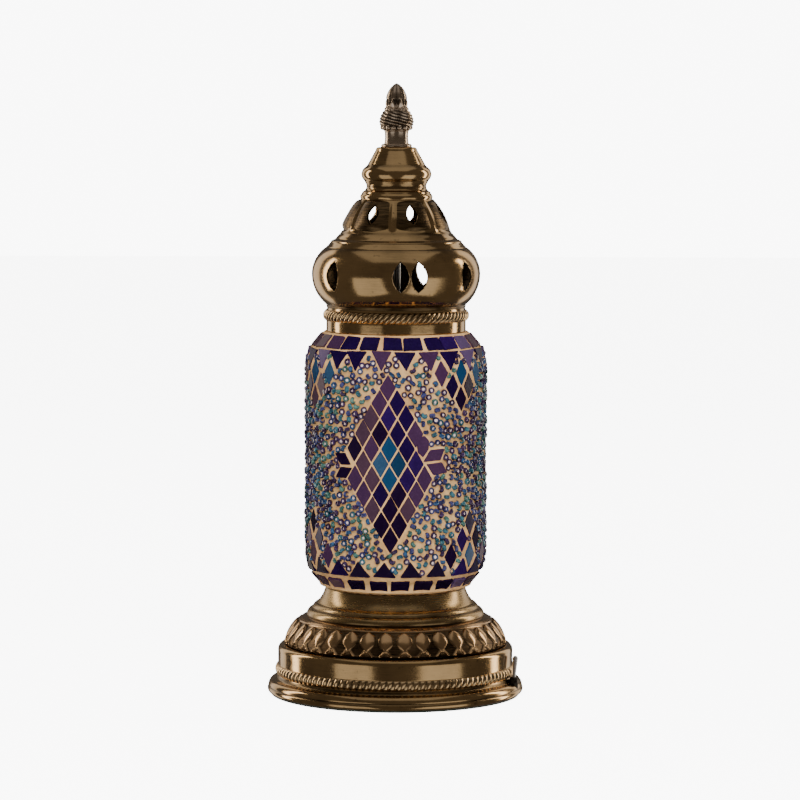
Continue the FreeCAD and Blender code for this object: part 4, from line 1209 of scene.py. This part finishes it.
def make_beads():
    parts = {name: [] for name in BEAD_GLASSES}
    plugs = []
    names = list(BEAD_GLASSES)
    for x, z in bead_spots():
        azimuth = math.degrees(x / GROUT)
        flat, right, up, _ = frame_at(azimuth)
        seat_radius = wall_radius(z) - (GROUT - FIELD)
        outer = rng.uniform(1.85, 2.2)
        hole = outer * rng.uniform(0.34, 0.40)
        half = rng.uniform(1.1, 1.4)
        end_on = rng.random() < 0.5
        if end_on:
            name = names[int(rng.choice(5, p=[0.52, 0.22, 0.10, 0.10, 0.06]))]
            axis = (flat + right * rng.normal(0, 0.14) + up * rng.normal(0, 0.14)).normalized()
            centre = flat * (seat_radius + 0.45) + Vector((0, 0, z))
            plugs.append(plug(centre + axis * half * 0.25, axis, hole * 1.04))
        else:
            name = names[int(rng.choice(5, p=[0.12, 0.30, 0.18, 0.24, 0.16]))]
            lie = rng.uniform(0, math.pi)
            axis = (right * math.cos(lie) + up * math.sin(lie) + flat * rng.normal(0,
                                                                                   0.25)).normalized()
            centre = flat * (seat_radius + 0.35) + Vector((0, 0, z))
        parts[name].append(seed_bead(centre, axis, outer, hole, half))
    for name, beads in parts.items():
        item = merge(f"seed_beads_{name}", beads, BEAD_GLASSES[name])
        stand_for(item, "root", "violet_glass" if name in ("plum", "indigo") else "indigo_glass")
    # painted highlight: pale hearts, lighter than the grout, in the holes of the beads that stand on
    # end
    hole_highlight = moulded("bead_hole_highlight", (0.78, 0.62, 0.60), 0.4, 1200.0)
    stand_for(merge("seed_bead_hearts", plugs, hole_highlight), "root", "grout")


def plug(centre, axis, radius, sides=10):
    """A low pale dome in the hole of a bead that stands on its end: a painted highlight for the light
    that shows through the glass.
    """
    across, up = beside(axis)
    vertices = []
    for ring, drop in ((1.0, -0.5), (1.0, 0.0), (0.6, 0.12)):
        for i in range(sides):
            a = math.tau * i / sides
            spot = centre + (across * math.cos(a) + up * math.sin(a)) * radius * ring + axis * drop
            vertices.append(tuple(spot * MM))
    vertices.append(tuple((centre + axis * 0.16) * MM))
    faces = []
    for i in range(sides):
        j = (i + 1) % sides
        faces += [(i, j, sides + j, sides + i),
                  (sides + i, sides + j, 2 * sides + j, 2 * sides + i),
                  (2 * sides + i, 2 * sides + j, 3 * sides)]
    faces.append(tuple(sides - 1 - i for i in range(sides)))
    return vertices, faces


# ------------------------------------------------------------------ finishes of the CAD's own parts
def finish_cad_parts():
    finishes = {
        "gasket_rubber": moulded("black_rubber", (0.020, 0.019, 0.018), 0.75),
        "plated_steel": plain_metal("zinc_plated", (0.62, 0.61, 0.58), 0.34),
        "clear_glass": clear("clear_cylinder_glass", (0.93, 0.95, 0.94)),
        "grout": grout_paste("grout_behind"),
        "indigo_glass": TILE_GLASSES[INDIGO],
        "violet_glass": TILE_GLASSES[VIOLET],
        "iron": moulded("cast_iron", (0.055, 0.050, 0.046), 0.7, 500.0),
        "painted_steel": moulded("black_paint", (0.022, 0.020, 0.018), 0.42, 700.0),
        "felt": felt_cloth("green_felt"),
        "terminal_plastic": moulded("terminal_plastic", (0.62, 0.60, 0.54), 0.45),
        "plain_brass": plain_metal("plain_brass", (0.66, 0.50, 0.24), 0.30),
        "wire_blue": moulded("blue_insulation", (0.03, 0.12, 0.42), 0.42),
        "wire_brown": moulded("brown_insulation", (0.16, 0.065, 0.025), 0.42),
        "wire_green": moulded("green_insulation", (0.10, 0.30, 0.04), 0.42),
        "holder_plastic": moulded("holder_plastic", (0.030, 0.028, 0.026), 0.38),
        "holder_ceramic": moulded("holder_ceramic", (0.72, 0.70, 0.64), 0.30, 300.0),
        "switch_plastic": moulded("switch_plastic", (0.024, 0.023, 0.022), 0.36),
        "dark_metal": plain_metal("dark_bush", (0.075, 0.062, 0.050), 0.44),
        "chrome": plain_metal("chrome_lever", (0.93, 0.91, 0.88), 0.46, (900.0, 900.0, 200.0),
                              0.000006),
        "bulb_metal": plain_metal("lamp_cap", (0.70, 0.69, 0.66), 0.30),
        "bulb_black": moulded("black_glass_bead", (0.012, 0.012, 0.012), 0.18),
        "bulb_clear": clear("bulb_glass_wall", (0.97, 0.97, 0.96), 0.02),
        "filament": plain_metal("tungsten", (0.32, 0.30, 0.28), 0.40),
        "aged_brass": BRASS,
    }
    for item in NODES.values():
        for spot in item.material_slots:
            plain = spot.material.name.split(".")[0]
            spot.material = finishes[plain]


# ------------------------------------------------------------------ studio
GLOW = (1.0, 0.90, 0.76)


def softbox(name, azimuth, elevation, distance, spread, glow, shiny=True, colour=(1.0, 1.0, 1.0)):
    """A rectangular soft light that faces the lamp. Azimuth 0 is the viewer's side. spread is the
    width and height in degrees that the lamp sees, glow its brightness, and shiny whether metal
    mirrors it or it only fills the shadows."""
    data = bpy.data.lights.new(name, "AREA")
    data.shape = "RECTANGLE"
    data.size, data.size_y = (2 * distance * math.tan(math.radians(angle) / 2) for angle in spread)
    data.energy = glow * math.pi * data.size * data.size_y
    data.color = colour
    item = bpy.data.objects.new(name, data)
    bpy.context.scene.collection.objects.link(item)
    turn, rise = math.radians(azimuth), math.radians(elevation)
    middle = Vector((0, 0, 0.18))
    item.location = middle + Vector((math.sin(turn) * math.cos(rise),
                                     -math.cos(turn) * math.cos(rise),
                                     math.sin(rise))) * distance
    item.rotation_euler = (middle - item.location).to_track_quat("-Z", "Y").to_euler()
    item.visible_glossy = shiny


def make_stage():
    """A pale floor, a pale surround and soft lights on both sides."""
    s = Shader("stage_paper")
    grain = s.noise(900.0, 2.0, 0.5)
    tint = s.mix(s.span(grain, 0.3, 0.7), (0.86, 0.86, 0.86), (0.88, 0.88, 0.88))
    paper = s.finish(Base_Color=tint, Roughness=0.9, Normal=s.bump(grain, 0.00002, 0.2))
    size = 6.0
    shine = s.tree.nodes.new("ShaderNodeEmission")
    shine.inputs["Color"].default_value = (1.0, 1.0, 1.0, 1.0)
    shine.inputs["Strength"].default_value = 8.0
    black = s.tree.nodes.new("ShaderNodeEmission")
    black.inputs["Strength"].default_value = 0.0
    path = s.tree.nodes.new("ShaderNodeLightPath")
    pick = s.tree.nodes.new("ShaderNodeMixShader")
    total = s.tree.nodes.new("ShaderNodeAddShader")
    s.link(path.outputs["Is Camera Ray"], pick.inputs[0])
    s.link(black.outputs[0], pick.inputs[1])
    s.link(shine.outputs[0], pick.inputs[2])
    s.link(s.surface.outputs[0], total.inputs[0])
    s.link(pick.outputs[0], total.inputs[1])
    s.link(total.outputs[0], s.out.inputs[0])
    floor = new_object("floor",
                       [(-size, -size, 0), (size, -size, 0), (size, size, 0), (-size, size, 0)],
                       [(0, 1, 2, 3)], [paper])
    floor.visible_glossy = False
    world = bpy.data.worlds.new("surround")
    world.use_nodes = True
    tree = world.node_tree
    tree.nodes.clear()
    out = tree.nodes.new("ShaderNodeOutputWorld")
    seen = tree.nodes.new("ShaderNodeBackground")
    seen.inputs[0].default_value = (1.0, 1.0, 1.0, 1.0)
    seen.inputs[1].default_value = 9.2
    ambient = tree.nodes.new("ShaderNodeBackground")
    ambient.inputs[0].default_value = (1.0, 0.88, 0.76, 1.0)
    ambient.inputs[1].default_value = 0.105
    path = tree.nodes.new("ShaderNodeLightPath")
    mix = tree.nodes.new("ShaderNodeMixShader")
    tree.links.new(path.outputs["Is Camera Ray"], mix.inputs[0])
    tree.links.new(ambient.outputs[0], mix.inputs[1])
    tree.links.new(seen.outputs[0], mix.inputs[2])
    tree.links.new(mix.outputs[0], out.inputs[0])
    bpy.context.scene.world = world
    softbox("fill", 2.0, 34.0, 1.8, (50.0, 44.0), 9.0, False)
    softbox("ceiling", 0.0, 84.0, 1.8, (62.0, 62.0), 0.30)
    softbox("panel_right", 45.0, -26.0, 1.7, (42.0, 48.0), 0.80)
    softbox("panel_left", -41.0, -26.0, 1.7, (38.0, 48.0), 0.72)
    softbox("side_right", 113.0, 6.0, 1.7, (11.0, 58.0), 6.0, colour=GLOW)
    softbox("side_left", -113.0, 6.0, 1.7, (11.0, 58.0), 6.0, colour=GLOW)
    softbox("rear_right", 143.0, 2.0, 1.9, (18.0, 70.0), 1.2, colour=GLOW)
    softbox("rear_left", -143.0, 2.0, 1.9, (18.0, 70.0), 1.2, colour=GLOW)


# ------------------------------------------------------------------ run
make_collar()
make_lower_dome()
make_upper_dome()
make_cone_cap()
make_finial()
make_neck()
make_bell()
make_foot()
make_diamonds()
make_triangles()
make_shoulders()
make_clusters()
make_grout()
make_beads()
finish_cad_parts()
make_stage()
